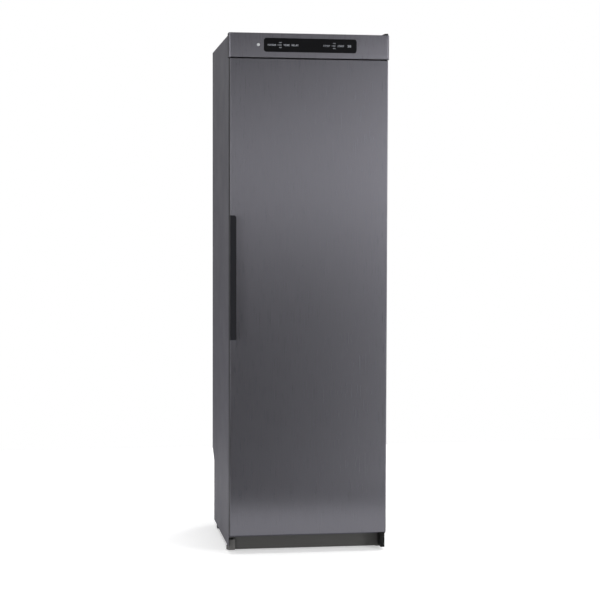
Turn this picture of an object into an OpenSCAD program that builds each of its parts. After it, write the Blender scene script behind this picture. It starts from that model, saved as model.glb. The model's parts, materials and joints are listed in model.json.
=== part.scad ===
// Single-door vented drying cabinet on two levelling feet and two rear rollers.
// A fan and heater above the drying space blow warm air down through its ceiling;
// damp air leaves through slots low in the rear wall, rises behind it and goes
// out of the round spigot on the top.
// Millimetres. Origin on the floor under the middle of the bounding box,
// X to the right as seen from the front, Y to the back, Z up.
// Inside at_front() the Y value is the distance behind the door's front face.

/* [Cabinet] */
// Width across the outer side walls
cabinet_width = 586; // [570:1:594]
// Depth from the door's front face to the rear edge of the side walls
cabinet_depth = 690; // [670:1:760]
// Height from the floor to the top of the fascia
cabinet_height = 1915; // [1895:1:2000]
// Sheet thickness of the outer walls, top, back and bottom
wall_sheet = 0.8; // [0.6:0.1:1.2]
// Height of the side walls' lower edge above the floor
wall_bottom = 17; // [14:1:22]
// How far the top panel lies below the top of the fascia
top_drop = 2; // [1:0.5:4]
// How far the back panel is set in from the side walls' rear edge
back_inset = 14; // [13.5:0.5:20]
// Depth of the niche low at the back
step_depth = 68; // [50:1:80]
// Height where the niche's slope starts
step_low = 262; // [220:1:270]
// Height where the niche's slope ends
step_high = 304; // [285:1:315]

/* [Fascia] */
// How far the fascia stands out past each side wall
fascia_overhang = 4.5; // [4.5:0.5:8]
// Height of the fascia
fascia_height = 89; // [80:1:92]
// Sheet thickness of the fascia
fascia_sheet = 1.2; // [0.8:0.1:1.5]
// Radius of the fascia's upright front edges
fascia_corner = 8; // [4:0.5:12]
// Width of the glass display
display_width = 344; // [320:1:350]
// Height of the glass display
display_height = 50.5; // [44:0.5:54]
// Corner radius of the display
display_corner = 10; // [6:0.5:14]
// Thickness of the display glass
display_glass_sheet = 3; // [2:0.5:4]
// Middle of the display to the right of the cabinet's middle
display_x = 2.5; // [0:0.5:8]
// Middle of the display below the top of the fascia
display_drop = 43; // [42:0.5:48]
// Gap between the power button and the display
button_gap = 15; // [14:0.5:30]
// Radius of the power button
button_radius = 5.5; // [4.5:0.5:6.5]
// How far the power button stands out
button_proud = 1; // [0.5:0.5:2]
// Travel of the power button
button_travel = 1.5; // [1:0.5:2.5]

/* [Door] */
// How far the door's edges are set in from the side walls
door_inset = 0; // [0:0.5:3]
// Height of the door's lower edge above the floor
door_bottom = 70; // [68:1:75]
// Gap between the door and the fascia
door_gap = 5; // [5:0.5:8]
// Thickness of the door
door_thickness = 42; // [38:1:45]
// Sheet thickness of the door's outer pan
door_sheet = 0.8; // [0.6:0.1:1.2]
// Radius of the door's upright front edges
door_corner = 4; // [2:0.5:8]
// Sheet thickness of the door's inner liner
liner_sheet = 0.6; // [0.5:0.1:1]
// How far the liner's field is raised towards the drying space
liner_raise = 3; // [2:0.5:4]
// Width of the flat margin round the liner's raised field
liner_margin = 52; // [48:1:60]
// Thickness of the pressed door gasket
gasket_thickness = 6; // [5:0.5:8]
// Width of the door gasket
gasket_width = 12; // [8:1:14]
// Thickness of the board of insulation in the door
door_board = 20; // [12:1:28]

/* [Handle] */
// Length of the handle
handle_length = 455; // [380:5:520]
// Height of the handle's lower end above the floor
handle_bottom = 795; // [700:5:900]
// Width of the handle's front face
handle_width = 22; // [18:1:28]
// How far the handle stands in front of the door
handle_proud = 32; // [26:1:40]
// Wall of the handle profile
handle_wall = 2.4; // [2:0.2:3]
// How far the handle's side flange reaches back along the door's edge
handle_grip = 26; // [18:1:34]
// Depth of the lip folded back from the handle's free edge
handle_lip = 8; // [5:1:12]

/* [Hinges] */
// Hinge pin's distance from the door's right edge
hinge_inset = 14; // [13:0.5:16]
// Hinge pin's distance behind the door's front face
hinge_setback = 20; // [17:0.5:20]
// Radius of the hinge pins
pin_radius = 5; // [4:0.5:6]
// Length of the hinge pins
pin_length = 18; // [14:1:22]
// Play between pin and bush, on the radius
running_gap = 0.06; // [0.03:0.01:0.1]
// Thickness of the upper hinge plate
upper_plate = 3; // [2.5:0.25:3.5]
// Thickness of the lower hinge bracket
lower_plate = 4; // [3:0.5:5]

/* [Front frame and drying space] */
// Width of the frame round the door opening
frame_strip = 31; // [30:1:34]
// Depth of the frame's inner return
frame_return = 20; // [15:1:25]
// Sheet thickness of the frame
frame_sheet = 1.2; // [0.8:0.1:1.5]
// Height of the drying space's sill above the floor
cavity_floor = 112; // [108:1:120]
// Room for fan and heater between the ceiling and the top panel
machine_height = 167; // [155:1:180]
// Sheet thickness of the drying space's lining
inner_sheet = 0.6; // [0.5:0.1:1]
// Depth of the tray in the floor of the drying space
tray_depth = 8; // [5:1:12]
// Air gap between the rear lining and the back panel at the niche
niche_gap = 17; // [12:1:24]
// Thickness of the insulation boards in the walls
wall_board = 14; // [8:1:20]
// Width of the air slots
slot_width = 6; // [4:0.5:8]

/* [Racks] */
// Reach of the hanging racks from their pivots
rack_reach = 450; // [400:5:460]
// Rods in each hanging rack
rack_rods = 7; // [5:1:8]
// Radius of the rack rods
rod_radius = 3; // [2.5:0.5:4]
// Thickness of the rack arms
arm_sheet = 4; // [3:0.5:5]
// Height of the rack arms
arm_height = 16; // [14:1:18]
// Radius of the rack pivots
rack_pivot_radius = 5; // [4:0.5:6]
// Height of the shoe shelf above the floor
shelf_z = 250; // [230:5:260]
// Reach of the shoe shelf from its pivots
shelf_reach = 330; // [280:5:350]
// Rods in the shoe shelf
shelf_rods = 13; // [9:1:14]
// Drop from the ceiling to the top hanging rack
rack_drop = 95; // [92:1:105]
// Rise from one hanging rack to the next
rack_rise = 500; // [490:5:510]
// Pegs across each bar of the door's glove rack
pegs_across = 6; // [4:1:8]
// Bars in the door's glove rack
peg_rows = 4; // [3:1:6]
// Length of the glove pegs
peg_length = 52; // [40:1:54]
// Radius of the glove pegs
peg_radius = 4; // [3:0.5:5]

/* [Fan and heater] */
// Outer radius of the impeller
impeller_radius = 70; // [60:1:74]
// Height of the impeller
impeller_height = 54; // [40:1:58]
// Blades of the impeller
impeller_blades = 12; // [9:1:16]
// Radius of the circle where the blades start
eye_radius = 34; // [30:1:38]
// Radius of the blades' curve
blade_curve = 45; // [40:1:50]
// Growth of the scroll's radius over one turn
scroll_growth = 40; // [30:1:46]
// Gap between impeller and scroll at the tongue
tongue_gap = 8; // [5:0.5:10]
// Wall of the scroll
scroll_wall = 1.5; // [1:0.25:2]
// Radius of the motor
motor_radius = 42; // [34:1:46]
// Radius of the motor's shaft
shaft_radius = 4; // [3:0.5:5]
// Radius of the heater's tube
heater_tube = 3.2; // [2.5:0.1:4]
// Passes of the heater's tube, an even number
heater_passes = 4; // [2:2:4]

/* [Exhaust] */
// Outer radius of the exhaust spigot
spigot_radius = 62; // [50:0.5:62]
// Height of the exhaust spigot
spigot_height = 45; // [30:1:60]
// Wall of the exhaust spigot
spigot_wall = 1.2; // [0.8:0.1:2]
// Radius of the cable gland's bore
gland_bore = 5; // [4:0.5:5.5]

/* [Base] */
// Radius of the rear rollers
roller_radius = 17; // [15:0.5:20]
// Width of the rear rollers
roller_width = 16; // [12:1:18]
// Rear roller's distance behind the door's front face
roller_setback = 512; // [480:1:530]
// Radius of the roller axles
axle_radius = 4; // [3:0.5:5]
// Radius of the levelling feet's pads
pad_radius = 11; // [9:0.5:11.5]
// Height of the levelling feet's pads
pad_height = 5; // [4:0.5:5]
// Radius of the levelling feet's stems
stem_radius = 5; // [4:0.5:6]
// Height of the base rails
rail_height = 40; // [36:1:42]
// Distance of the plinth behind the door's front face
plinth_setback = 82; // [76:1:90]
// Gap between the plinth and the floor
plinth_gap = 3; // [2:1:8]

/* [Hidden] */
$fn = 64;

// How far a cutting shape runs past the face it opens
cut = 1;
// Gap between pieces that only just touch while they move
touch_gap = 0.05;

steel_dark = [0.36, 0.36, 0.38];
steel_side = [0.34, 0.34, 0.36];
steel_inner = [0.74, 0.75, 0.76];
black_plastic = [0.08, 0.08, 0.09];
black_steel = [0.12, 0.12, 0.13];

// Y of the door's front face, which centres the bounding box on the origin
door_face = (handle_proud - cabinet_depth) / 2;
half_width = cabinet_width / 2;
inner_half = half_width - wall_sheet;
wall_top = cabinet_height - top_drop;
under_top = wall_top - wall_sheet;
wall_front = door_thickness + gasket_thickness;
back_outer = cabinet_depth - back_inset;
niche_outer = back_outer - step_depth;
pan_z = wall_bottom + rail_height;

fascia_half = half_width + fascia_overhang;
fascia_bottom = cabinet_height - fascia_height;
fascia_end_gap = 8;
fascia_return = wall_front - fascia_end_gap;
display_z = cabinet_height - display_drop;
seat_gap = 0.2;

door_half = half_width - door_inset;
door_width = 2 * door_half;
door_top = fascia_bottom - door_gap;
door_height = door_top - door_bottom;
liner_front = door_thickness - liner_sheet;
liner_half = door_half - liner_margin;
// Extra margins below and above the raised field, where the gasket sits lower
field_low_margin = 8;
field_high_margin = 36;
field_bottom = door_bottom + liner_margin + field_low_margin;
field_top = door_top - liner_margin - field_high_margin;
field_face = door_thickness + liner_raise;

cavity_half = half_width - frame_strip;
cavity_front = wall_front + frame_return;
cavity_back = niche_outer - wall_sheet - niche_gap;
cavity_ceiling = under_top - machine_height;
machine_floor = cavity_ceiling + inner_sheet;
frame_low = door_bottom + 2;
tray_bottom = cavity_floor - tray_depth;

hinge_x = door_half - hinge_inset;
bush_wall = 3;
bush_radius = pin_radius + bush_wall;
bush_flange_radius = bush_radius + bush_wall;
bush_flange = 1;
hinge_play = 0.1;
bush_length = pin_length + bush_wall;
hinge_half = 13;

rail_step = 4;
rail_width = 20;
rail_outer = cavity_half + rail_step;
rail_inner = rail_outer - rail_width;
rail_sheet = 2;
plinth_sheet = 1.5;
rail_front = plinth_setback + plinth_sheet;

foot_inset = 18;
stem_drop = 10;
foot_x = (rail_outer + inner_half) / 2;
foot_y = plinth_setback + foot_inset;
stem_top = pan_z - stem_drop;

top_level = cavity_ceiling - rack_drop;
rack_levels = [top_level - 2 * rack_rise, top_level - rack_rise, top_level];
pivot_gap = 18;
pivot_y = cavity_back - pivot_gap;
bracket_sheet = 4;
arm_gap = 3;
arm_outer = cavity_half - bracket_sheet - arm_gap;
arm_inner = arm_outer - arm_sheet;
first_rod = 60;

fan_x = -110;
fan_y = 330;
scroll_start = impeller_radius + tongue_gap;
scroll_end = scroll_start + scroll_growth;
scroll_lift = 60;
scroll_room = 14;
scroll_base = machine_floor + scroll_lift;
scroll_height = impeller_height + scroll_room;
outlet_length = 100;
duct_left = fan_x + outlet_length;
duct_length = 240;
duct_margin = 22;
duct_front = fan_y - scroll_end - duct_margin;
duct_back = fan_y - scroll_start + duct_margin;
duct_top = scroll_base + scroll_height;

spigot_back_gap = 12;
plenum_side_room = 22;
plenum_front_room = 8;
plenum_back_room = 6;
spigot_y = back_outer - wall_sheet - spigot_radius - spigot_back_gap;
plenum_half = spigot_radius + plenum_side_room;
plenum_front = spigot_y - spigot_radius - plenum_front_room;
plenum_back = spigot_y + spigot_radius + plenum_back_room;
duct_mouth_front = cavity_back + inner_sheet;
gland_inset = 83;
gland_x = half_width - gland_inset;
gland_drop = 90;
gland_z = under_top - gland_drop;

// Puts its children in the cabinet's frame, Y counted from the door's front face.
module at_front() {
    translate([0, door_face, 0]) children();
}

// A box from its low corner to its high corner.
module box(low, high) {
    translate(low) cube(high - low);
}

// The box and its mirror image on the other side of the cabinet.
module box_pair(low, high) {
    box(low, high);
    mirror([1, 0, 0]) box(low, high);
}

// A box that is hollow, with walls of the given sheet and the named ends open.
module shell(low, high, sheet, open_low = [0, 0, 0], open_high = [0, 0, 0]) {
    difference() {
        box(low, high);
        box(
            low + [for (i = [0:2]) open_low[i] ? -cut : sheet],
            high - [for (i = [0:2]) open_high[i] ? -cut : sheet]
        );
    }
}

// A rod along X, Y or Z from a point, by its axis's turn.
module rod_x(radius, length) {
    rotate([0, 90, 0]) cylinder(r = radius, h = length);
}

module rod_y(radius, length) {
    rotate([-90, 0, 0]) cylinder(r = radius, h = length);
}

// An outline given in Y and Z, pushed along X.
module push_x(length) {
    rotate([90, 0, 90]) linear_extrude(height = length) children();
}

// An outline given in X and Z, pushed along +Y.
module push_y(length) {
    rotate([90, 0, 0]) translate([0, 0, -length]) linear_extrude(height = length) children();
}

// A rectangle about its middle with round corners, as an outline.
module rounded(width, height, radius) {
    square([width - 2 * radius, height], center = true);
    square([width, height - 2 * radius], center = true);
    for (x = [-1, 1], y = [-1, 1]) {
        translate([x * (width / 2 - radius), y * (height / 2 - radius)]) circle(r = radius);
    }
}

// A rectangle seen from above whose two front corners are round.
module front_rounded(width, depth, radius) {
    translate([-width / 2, radius]) square([width, depth - radius]);
    translate([radius - width / 2, 0]) square([width - 2 * radius, 2 * radius]);
    for (x = [-1, 1]) {
        translate([x * (width / 2 - radius), radius]) circle(r = radius);
    }
}

// Side outline of the cabinet with the niche low at the back.
module side_outline() {
    polygon([
        [wall_front, wall_bottom],
        [cabinet_depth - step_depth, wall_bottom],
        [cabinet_depth - step_depth, step_low],
        [cabinet_depth, step_high],
        [cabinet_depth, wall_top],
        [wall_front, wall_top]
    ]);
}

module side_wall_left() {
    color(steel_side) at_front()
        translate([-half_width, 0, 0]) push_x(wall_sheet) side_outline();
}

module side_wall_right() {
    color(steel_side) at_front()
        translate([inner_half, 0, 0]) push_x(wall_sheet) side_outline();
}

// Rows of slots along X through a flat sheet whose low face is at z.
module slot_rows(columns, rows, length, pitch_x, pitch_y, z, sheet) {
    for (i = [0:columns - 1], j = [0:rows - 1]) {
        translate([i * pitch_x, j * pitch_y, z - cut])
            cube([length, slot_width, sheet + 2 * cut]);
    }
}

intake_length = 60;
intake_pitch_x = 76;
intake_pitch_y = 16;
tie_spacing = 480;
tie_radius = 2.75;
tie_setback = cabinet_depth - 22;

// Top with the room-air slots over the fan, the spigot's hole and two wall-tie holes.
module top_panel() {
    color(steel_side) at_front() difference() {
        box([-inner_half, wall_front, under_top], [inner_half, cabinet_depth, wall_top]);
        translate([fan_x - 1.5 * intake_pitch_x, fan_y - 5 * intake_pitch_y, 0])
            slot_rows(4, 10, intake_length, intake_pitch_x, intake_pitch_y, under_top, wall_sheet);
        translate([0, spigot_y, under_top - cut])
            cylinder(r = spigot_radius - spigot_wall, h = wall_sheet + 2 * cut);
        for (x = [-1, 1]) {
            translate([x * tie_spacing / 2, tie_setback, under_top - cut])
                cylinder(r = tie_radius, h = wall_sheet + 2 * cut);
        }
    }
}

gland_thread = gland_bore + 4;
back_raise = 3;
back_margin = 60;
back_field_low = step_high + back_margin;
back_field_high = gland_z - back_margin;
back_field_middle = (back_field_low + back_field_high) / 2;
back_field_gap = 30;

// Lower rear sheet, which follows the side walls' niche up to the back panel.
module niche_panel() {
    color(steel_side) at_front() translate([-inner_half, 0, 0]) push_x(2 * inner_half) polygon([
        [niche_outer - wall_sheet, wall_bottom],
        [niche_outer, wall_bottom],
        [niche_outer, step_low],
        [back_outer, step_high],
        [back_outer - wall_sheet, step_high],
        [niche_outer - wall_sheet, step_low]
    ]);
}

// Back above the niche, with two pressed fields that stiffen it and the gland's hole.
module back_panel() {
    fields = [
        [back_field_low, back_field_middle - back_field_gap / 2],
        [back_field_middle + back_field_gap / 2, back_field_high]
    ];
    reach = inner_half - back_margin;
    color(steel_side) at_front() difference() {
        union() {
            box(
                [-inner_half, back_outer - wall_sheet, step_high],
                [inner_half, back_outer, under_top]
            );
            for (z = fields) box(
                [-reach, back_outer - wall_sheet, z[0]],
                [reach, back_outer + back_raise, z[1]]
            );
        }
        for (z = fields) box(
            [wall_sheet - reach, back_outer - wall_sheet - cut, z[0] + wall_sheet],
            [reach - wall_sheet, back_outer + back_raise - wall_sheet, z[1] - wall_sheet]
        );
        translate([gland_x, back_outer - wall_sheet - cut, gland_z])
            rod_y(gland_thread, wall_sheet + 2 * cut);
    }
}

// Bottom sheet with an upright flange under the front frame.
module bottom_pan() {
    color(steel_side) at_front() {
        box(
            [-inner_half, wall_front, pan_z],
            [inner_half, niche_outer - wall_sheet, pan_z + wall_sheet]
        );
        box([-inner_half, wall_front, pan_z], [inner_half, wall_front + frame_sheet, frame_low]);
    }
}

switch_inset = 93;
switch_x = switch_inset - half_width;
switch_rise = 42;
switch_z = cavity_ceiling + switch_rise;
plunger_radius = 4;

// Two posts and two rails, each a front strip with a return along the door opening.
module front_frame() {
    color(steel_side) at_front() {
        for (side = [0, 1]) mirror([side, 0, 0]) {
            box(
                [cavity_half, wall_front, frame_low],
                [inner_half, wall_front + frame_sheet, under_top]
            );
            box(
                [cavity_half, wall_front, frame_low],
                [cavity_half + frame_sheet, cavity_front, under_top]
            );
        }
        difference() {
            union() {
                box(
                    [-cavity_half, wall_front, cavity_ceiling],
                    [cavity_half, wall_front + frame_sheet, under_top]
                );
                box(
                    [-cavity_half, wall_front, cavity_ceiling],
                    [cavity_half, cavity_front, cavity_ceiling + frame_sheet]
                );
            }
            translate([switch_x, wall_front - cut, switch_z])
                rod_y(plunger_radius + 1, frame_sheet + 2 * cut);
        }
        box(
            [-cavity_half, wall_front, frame_low],
            [cavity_half, wall_front + frame_sheet, cavity_floor]
        );
        box(
            [-cavity_half, wall_front, cavity_floor - frame_sheet],
            [cavity_half, cavity_front, cavity_floor]
        );
    }
}

module inner_walls() {
    color(steel_inner) at_front() box_pair(
        [cavity_half, cavity_front, tray_bottom],
        [cavity_half + inner_sheet, cavity_back, cavity_ceiling]
    );
}

vent_columns = 12;
vent_pitch = 38;
vent_height = 50;
vent_z = step_high + 30;

// Rear lining with two rows of upright slots where the damp air leaves.
module inner_back() {
    color(steel_inner) at_front() difference() {
        box(
            [-cavity_half - inner_sheet, cavity_back, tray_bottom],
            [cavity_half + inner_sheet, cavity_back + inner_sheet, machine_floor]
        );
        for (i = [0:vent_columns - 1], j = [0, 1]) {
            translate([
                (i - (vent_columns - 1) / 2) * vent_pitch - slot_width / 2,
                cavity_back - cut,
                vent_z + j * (vent_height + 14)
            ]) cube([slot_width, inner_sheet + 2 * cut, vent_height]);
        }
    }
}

grille_length = 60;
grille_pitch_x = 74;
grille_pitch_y = 15;

// Ceiling with the slots under the heater where the warm air comes down.
module ceiling_panel() {
    color(steel_inner) at_front() difference() {
        box(
            [-cavity_half - inner_sheet, cavity_front, cavity_ceiling],
            [cavity_half + inner_sheet, cavity_back, machine_floor]
        );
        translate([duct_left + 12, duct_front + 9, 0])
            slot_rows(3, 5, grille_length, grille_pitch_x, grille_pitch_y, cavity_ceiling, inner_sheet);
    }
}

module floor_tray() {
    color(steel_inner) at_front() shell(
        [-cavity_half, cavity_front, tray_bottom],
        [cavity_half, cavity_back, cavity_floor],
        inner_sheet,
        open_high = [0, 0, 1]
    );
}

board_gap = 6;

// Boards between lining and outer walls: left, right and back.
module insulation() {
    color([0.82, 0.8, 0.72]) at_front() {
        box_pair(
            [inner_half - wall_board, cavity_front + board_gap, cavity_floor],
            [inner_half, cavity_back, cavity_ceiling]
        );
        box(
            [-cavity_half, back_outer - wall_sheet - wall_board, step_high + board_gap],
            [cavity_half, back_outer - wall_sheet, cavity_ceiling]
        );
    }
}

cross_depth = 20;
cross_drop = 10;
rear_cross = niche_outer - wall_sheet - cross_depth - 20;

// Two channel rails that carry the rollers, joined by two box cross members.
module base_frame() {
    color([0.3, 0.3, 0.31]) at_front() {
        for (side = [0, 1]) mirror([side, 0, 0]) shell(
            [rail_inner, rail_front, wall_bottom],
            [rail_outer, niche_outer - wall_sheet, pan_z],
            rail_sheet,
            open_low = [1, 1, 0],
            open_high = [0, 1, 0]
        );
        for (y = [rail_front, rear_cross]) shell(
            [-rail_inner, y, wall_bottom + cross_drop],
            [rail_inner, y + cross_depth, pan_z],
            rail_sheet,
            open_low = [1, 0, 0],
            open_high = [1, 0, 0]
        );
    }
}

plinth_flange = 12;

// Kick plate from the left block's nose to the right side wall, with a stiffening flange
// along its lower edge between the rails.
module plinth() {
    color([0.27, 0.27, 0.26]) at_front() {
        box(
            [-rail_outer, plinth_setback, plinth_gap],
            [inner_half, plinth_setback + plinth_sheet, pan_z]
        );
        box(
            [-rail_outer, plinth_setback, plinth_gap],
            [rail_outer, plinth_setback + plinth_flange, plinth_gap + plinth_sheet]
        );
    }
}

block_tail_length = 26;
block_back = foot_y + block_tail_length;
block_proud = 14;
block_front = plinth_setback - block_proud;
block_top = 42;
block_round = 7;
lip_inset = 0.5;
lip_outer = fascia_half - lip_inset;
lip_length = 26;
lip_taper = 5;
rib_width = 3;
rib_height = 5;
pad_room = 0.5;

// Tail of a corner block between side wall and base rail, with the foot's pocket and hole.
module block_tail() {
    difference() {
        box([rail_outer, rail_front, plinth_gap], [inner_half, block_back, pan_z]);
        foot_room();
    }
}

// Pocket for a levelling foot's pad and the hole for its stem.
module foot_room() {
    translate([foot_x, foot_y, 0]) {
        cylinder(r = pad_radius + pad_room, h = pad_height + 1);
        cylinder(r = stem_radius + running_gap, h = stem_top + cut);
    }
}

// Left block: the tail, the round-edged nose that shows beside the plinth, the lip
// under the side wall's edge and a locating rib.
module foot_block_left() {
    color([0.2, 0.2, 0.2]) at_front() mirror([1, 0, 0]) {
        block_tail();
        translate([(rail_outer + inner_half) / 2, block_front, plinth_gap])
            linear_extrude(height = block_top - plinth_gap)
                front_rounded(inner_half - rail_outer, rail_front - block_front, block_round);
        translate([0, block_front + block_round, plinth_gap])
            linear_extrude(height = wall_bottom - plinth_gap) polygon([
                [inner_half, 0],
                [lip_outer, lip_taper],
                [lip_outer, lip_length - lip_taper],
                [inner_half, lip_length]
            ]);
        box(
            [rail_outer + rib_width, block_front + rib_width, block_top],
            [rail_outer + 2 * rib_width, rail_front, block_top + rib_height]
        );
    }
}

module foot_block_right() {
    color([0.2, 0.2, 0.2]) at_front() block_tail();
}

// Levelling foot with its pad on the floor and its stem in the block.
module levelling_foot(side) {
    at_front() translate([side * foot_x, foot_y, 0]) {
        cylinder(r = pad_radius, h = pad_height - 1);
        translate([0, 0, pad_height - 1]) cylinder(r1 = pad_radius, r2 = pad_radius - 3, h = 1);
        translate([0, 0, pad_height]) cylinder(r = stem_radius, h = stem_top - pad_height - 2);
    }
}

module levelling_foot_left() {
    color(black_plastic) levelling_foot(-1);
}

module levelling_foot_right() {
    color(black_plastic) levelling_foot(1);
}

roller_gap = 0.5;
roller_outer = inner_half - 2;
roller_inner = roller_outer - roller_width;

// Stub axles fixed to the base rails, each with a shoulder and an end disc.
module roller_axles() {
    color("silver") at_front() for (side = [0, 1]) mirror([side, 0, 0])
        translate([0, roller_setback, roller_radius]) {
            translate([rail_outer, 0, 0]) rod_x(axle_radius + 4, roller_inner - roller_gap - rail_outer);
            translate([rail_outer, 0, 0]) rod_x(axle_radius, inner_half - rail_outer);
        }
}

roller_round = 1.5;

module roller(side) {
    at_front() translate([side * (roller_outer - roller_width / 2), roller_setback, roller_radius])
        rotate([0, 90, 0]) rotate_extrude() polygon([
            [axle_radius + running_gap, -roller_width / 2],
            [roller_radius - roller_round, -roller_width / 2],
            [roller_radius, roller_round - roller_width / 2],
            [roller_radius, roller_width / 2 - roller_round],
            [roller_radius - roller_round, roller_width / 2],
            [axle_radius + running_gap, roller_width / 2]
        ]);
}

module roller_left() {
    color(black_plastic) roller(-1);
}

module roller_right() {
    color(black_plastic) roller(1);
}

// Folded front panel: rounded upright edges, top, bottom and two rear lips.
module fascia() {
    color(steel_dark) at_front() difference() {
        union() {
            translate([0, 0, fascia_bottom]) linear_extrude(height = fascia_height) difference() {
                front_rounded(2 * fascia_half, wall_front, fascia_corner);
                translate([0, fascia_sheet]) front_rounded(
                    2 * (fascia_half - fascia_sheet), wall_front, fascia_corner - fascia_sheet
                );
            }
            for (z = [fascia_bottom, cabinet_height - fascia_sheet]) {
                translate([0, 0, z]) linear_extrude(height = fascia_sheet)
                    front_rounded(2 * fascia_half, fascia_return, fascia_corner);
            }
            box_pair(
                [half_width, wall_front - fascia_sheet, fascia_bottom],
                [fascia_half - fascia_sheet / 2, wall_front, cabinet_height]
            );
        }
        translate([display_x, -cut, display_z]) push_y(fascia_sheet + 2 * cut) rounded(
            display_width + 2 * seat_gap, display_height + 2 * seat_gap, display_corner + seat_gap
        );
        translate([-button_left, -cut, display_z]) rod_y(button_radius + seat_gap, fascia_sheet + 2 * cut);
    }
}

glass_proud = 0.4;
glass_back = display_glass_sheet - glass_proud;

module display_glass() {
    color([0.03, 0.03, 0.04]) at_front() translate([display_x, -glass_proud, display_z])
        push_y(display_glass_sheet) rounded(display_width, display_height, display_corner);
}

carrier_rim = 5;
carrier_back = 10;
carrier_window = 8;
guide_wall = 2.5;
bridge_half = 4;
bridge_sheet = 3;
button_left = display_width / 2 - display_x + button_gap + button_radius;
// Pushbutton on the circuit board, behind the power button
push_side = 6;
push_height = 3.5;
button_depth = carrier_back - push_height - button_travel - touch_gap;

// Moulded carrier behind the fascia: the glass's seat and the button's guide.
module panel_carrier() {
    color(black_plastic) at_front() difference() {
        union() {
            translate([display_x, fascia_sheet, display_z]) push_y(carrier_back - fascia_sheet)
                rounded(
                    display_width + 2 * carrier_rim, display_height + 2 * carrier_rim,
                    display_corner + carrier_rim
                );
            translate([-button_left, fascia_sheet, display_z])
                rod_y(button_radius + guide_wall, carrier_back - fascia_sheet);
            box(
                [-button_left, fascia_sheet, display_z - bridge_half],
                [
                    display_x - display_width / 2,
                    fascia_sheet + bridge_sheet,
                    display_z + bridge_half
                ]
            );
        }
        translate([display_x, fascia_sheet - cut, display_z]) push_y(glass_back - fascia_sheet + cut)
            rounded(
                display_width + 2 * seat_gap, display_height + 2 * seat_gap, display_corner + seat_gap
            );
        translate([display_x, 0, display_z]) push_y(carrier_back + cut) rounded(
            display_width - 2 * carrier_window, display_height - 2 * carrier_window,
            display_corner - 2
        );
        translate([-button_left, 0, display_z])
            rod_y(button_radius + running_gap, carrier_back + cut);
    }
}

board_sheet = 1.6;
board_margin = 6;
relay = [16, 15, 20];
relay_left = -140;
relay_pitch = 24;
transformer = [38, 24, 32];
transformer_left = 30;
capacitor_radius = 6;
capacitor_length = 18;
capacitor_left = 90;
capacitor_pitch = 18;

// Circuit board on the carrier's back with relays, a transformer and capacitors,
// and the pushbutton inside the power button's guide.
module control_board() {
    color([0.1, 0.35, 0.2]) at_front() translate([0, carrier_back, display_z]) {
        box(
            [-button_left - button_radius - board_margin, 0, -display_height / 2],
            [display_x + display_width / 2 - board_margin, board_sheet, display_height / 2]
        );
        box(
            [-button_left - push_side / 2, -push_height, -push_side / 2],
            [push_side / 2 - button_left, 0, push_side / 2]
        );
        translate([display_x, board_sheet, 0]) {
            for (i = [0:3]) translate([relay_left + i * relay_pitch, 0, -relay[2] / 2]) cube(relay);
            translate([transformer_left, 0, -transformer[2] / 2]) cube(transformer);
            for (i = [0:2]) translate([capacitor_left + i * capacitor_pitch, 0, 0])
                rod_y(capacitor_radius, capacitor_length);
        }
    }
}

module power_button() {
    color([0.75, 0.76, 0.78]) at_front() translate([-button_left, -button_proud, display_z])
        rod_y(button_radius, button_depth + button_proud);
}

cap_height = 6.5;
cap_length = 25;
cap_left = half_width - cap_length;
cap_slope = 12;

// Ramped plastic cover over the upper hinge's screws, on the fascia's top.
module hinge_cap() {
    color(black_plastic) at_front() translate([0, 3, cabinet_height]) push_y(fascia_return - 6) polygon([
        [cap_left, 0],
        [half_width, 0],
        [half_width, cap_height],
        [cap_left + cap_slope, cap_height - 1]
    ]);
}

upper_plate_z = door_top + bush_flange + hinge_play;
upper_leaf = 60;
hinge_front = hinge_setback - hinge_half;

// Angle on the front frame; its plate lies in the gap over the door and holds the pin.
module upper_hinge() {
    color(black_steel) at_front() {
        box(
            [hinge_x - hinge_half, hinge_front, upper_plate_z],
            [hinge_x + hinge_half, wall_front, upper_plate_z + upper_plate]
        );
        box(
            [hinge_x - hinge_half, wall_front - upper_plate, upper_plate_z],
            [hinge_x + hinge_half, wall_front, upper_plate_z + upper_leaf]
        );
        translate([hinge_x, hinge_setback, door_top - pin_length])
            cylinder(r = pin_radius, h = pin_length + bush_flange + hinge_play);
    }
}

lower_plate_top = door_bottom - bush_flange - hinge_play;
leg_width = 15;
leg_front = 20;
leg_bottom = 9;

// Bracket that carries the door on its upright pin: a plate on a tubular leg, which
// runs back under the bottom pan to the plinth.
module lower_hinge() {
    left = hinge_x - hinge_half;
    right = hinge_x + hinge_half;
    color(black_steel) at_front() {
        box([left, hinge_front, lower_plate_top - lower_plate], [right, wall_front, lower_plate_top]);
        shell(
            [right - leg_width, leg_front, leg_bottom],
            [right, wall_front, lower_plate_top],
            lower_plate,
            open_low = [0, 0, 1]
        );
        shell(
            [right - leg_width, wall_front, leg_bottom],
            [right, plinth_setback, pan_z],
            lower_plate,
            open_low = [0, 1, 1]
        );
        translate([hinge_x, hinge_setback, lower_plate_top])
            cylinder(r = pin_radius, h = pin_length + bush_flange + hinge_play);
    }
}

// Outer pan of the door, open to the back, with a hole at each end for its bush.
module door_skin() {
    color(steel_dark) at_front() difference() {
        translate([0, 0, door_bottom]) linear_extrude(height = door_height)
            front_rounded(door_width, door_thickness, door_corner);
        translate([0, door_sheet, door_bottom + door_sheet])
            linear_extrude(height = door_height - 2 * door_sheet) front_rounded(
                door_width - 2 * door_sheet, door_thickness, door_corner - door_sheet
            );
        translate([hinge_x, hinge_setback, door_bottom - cut])
            cylinder(r = bush_radius, h = door_height + 2 * cut);
    }
}

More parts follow.
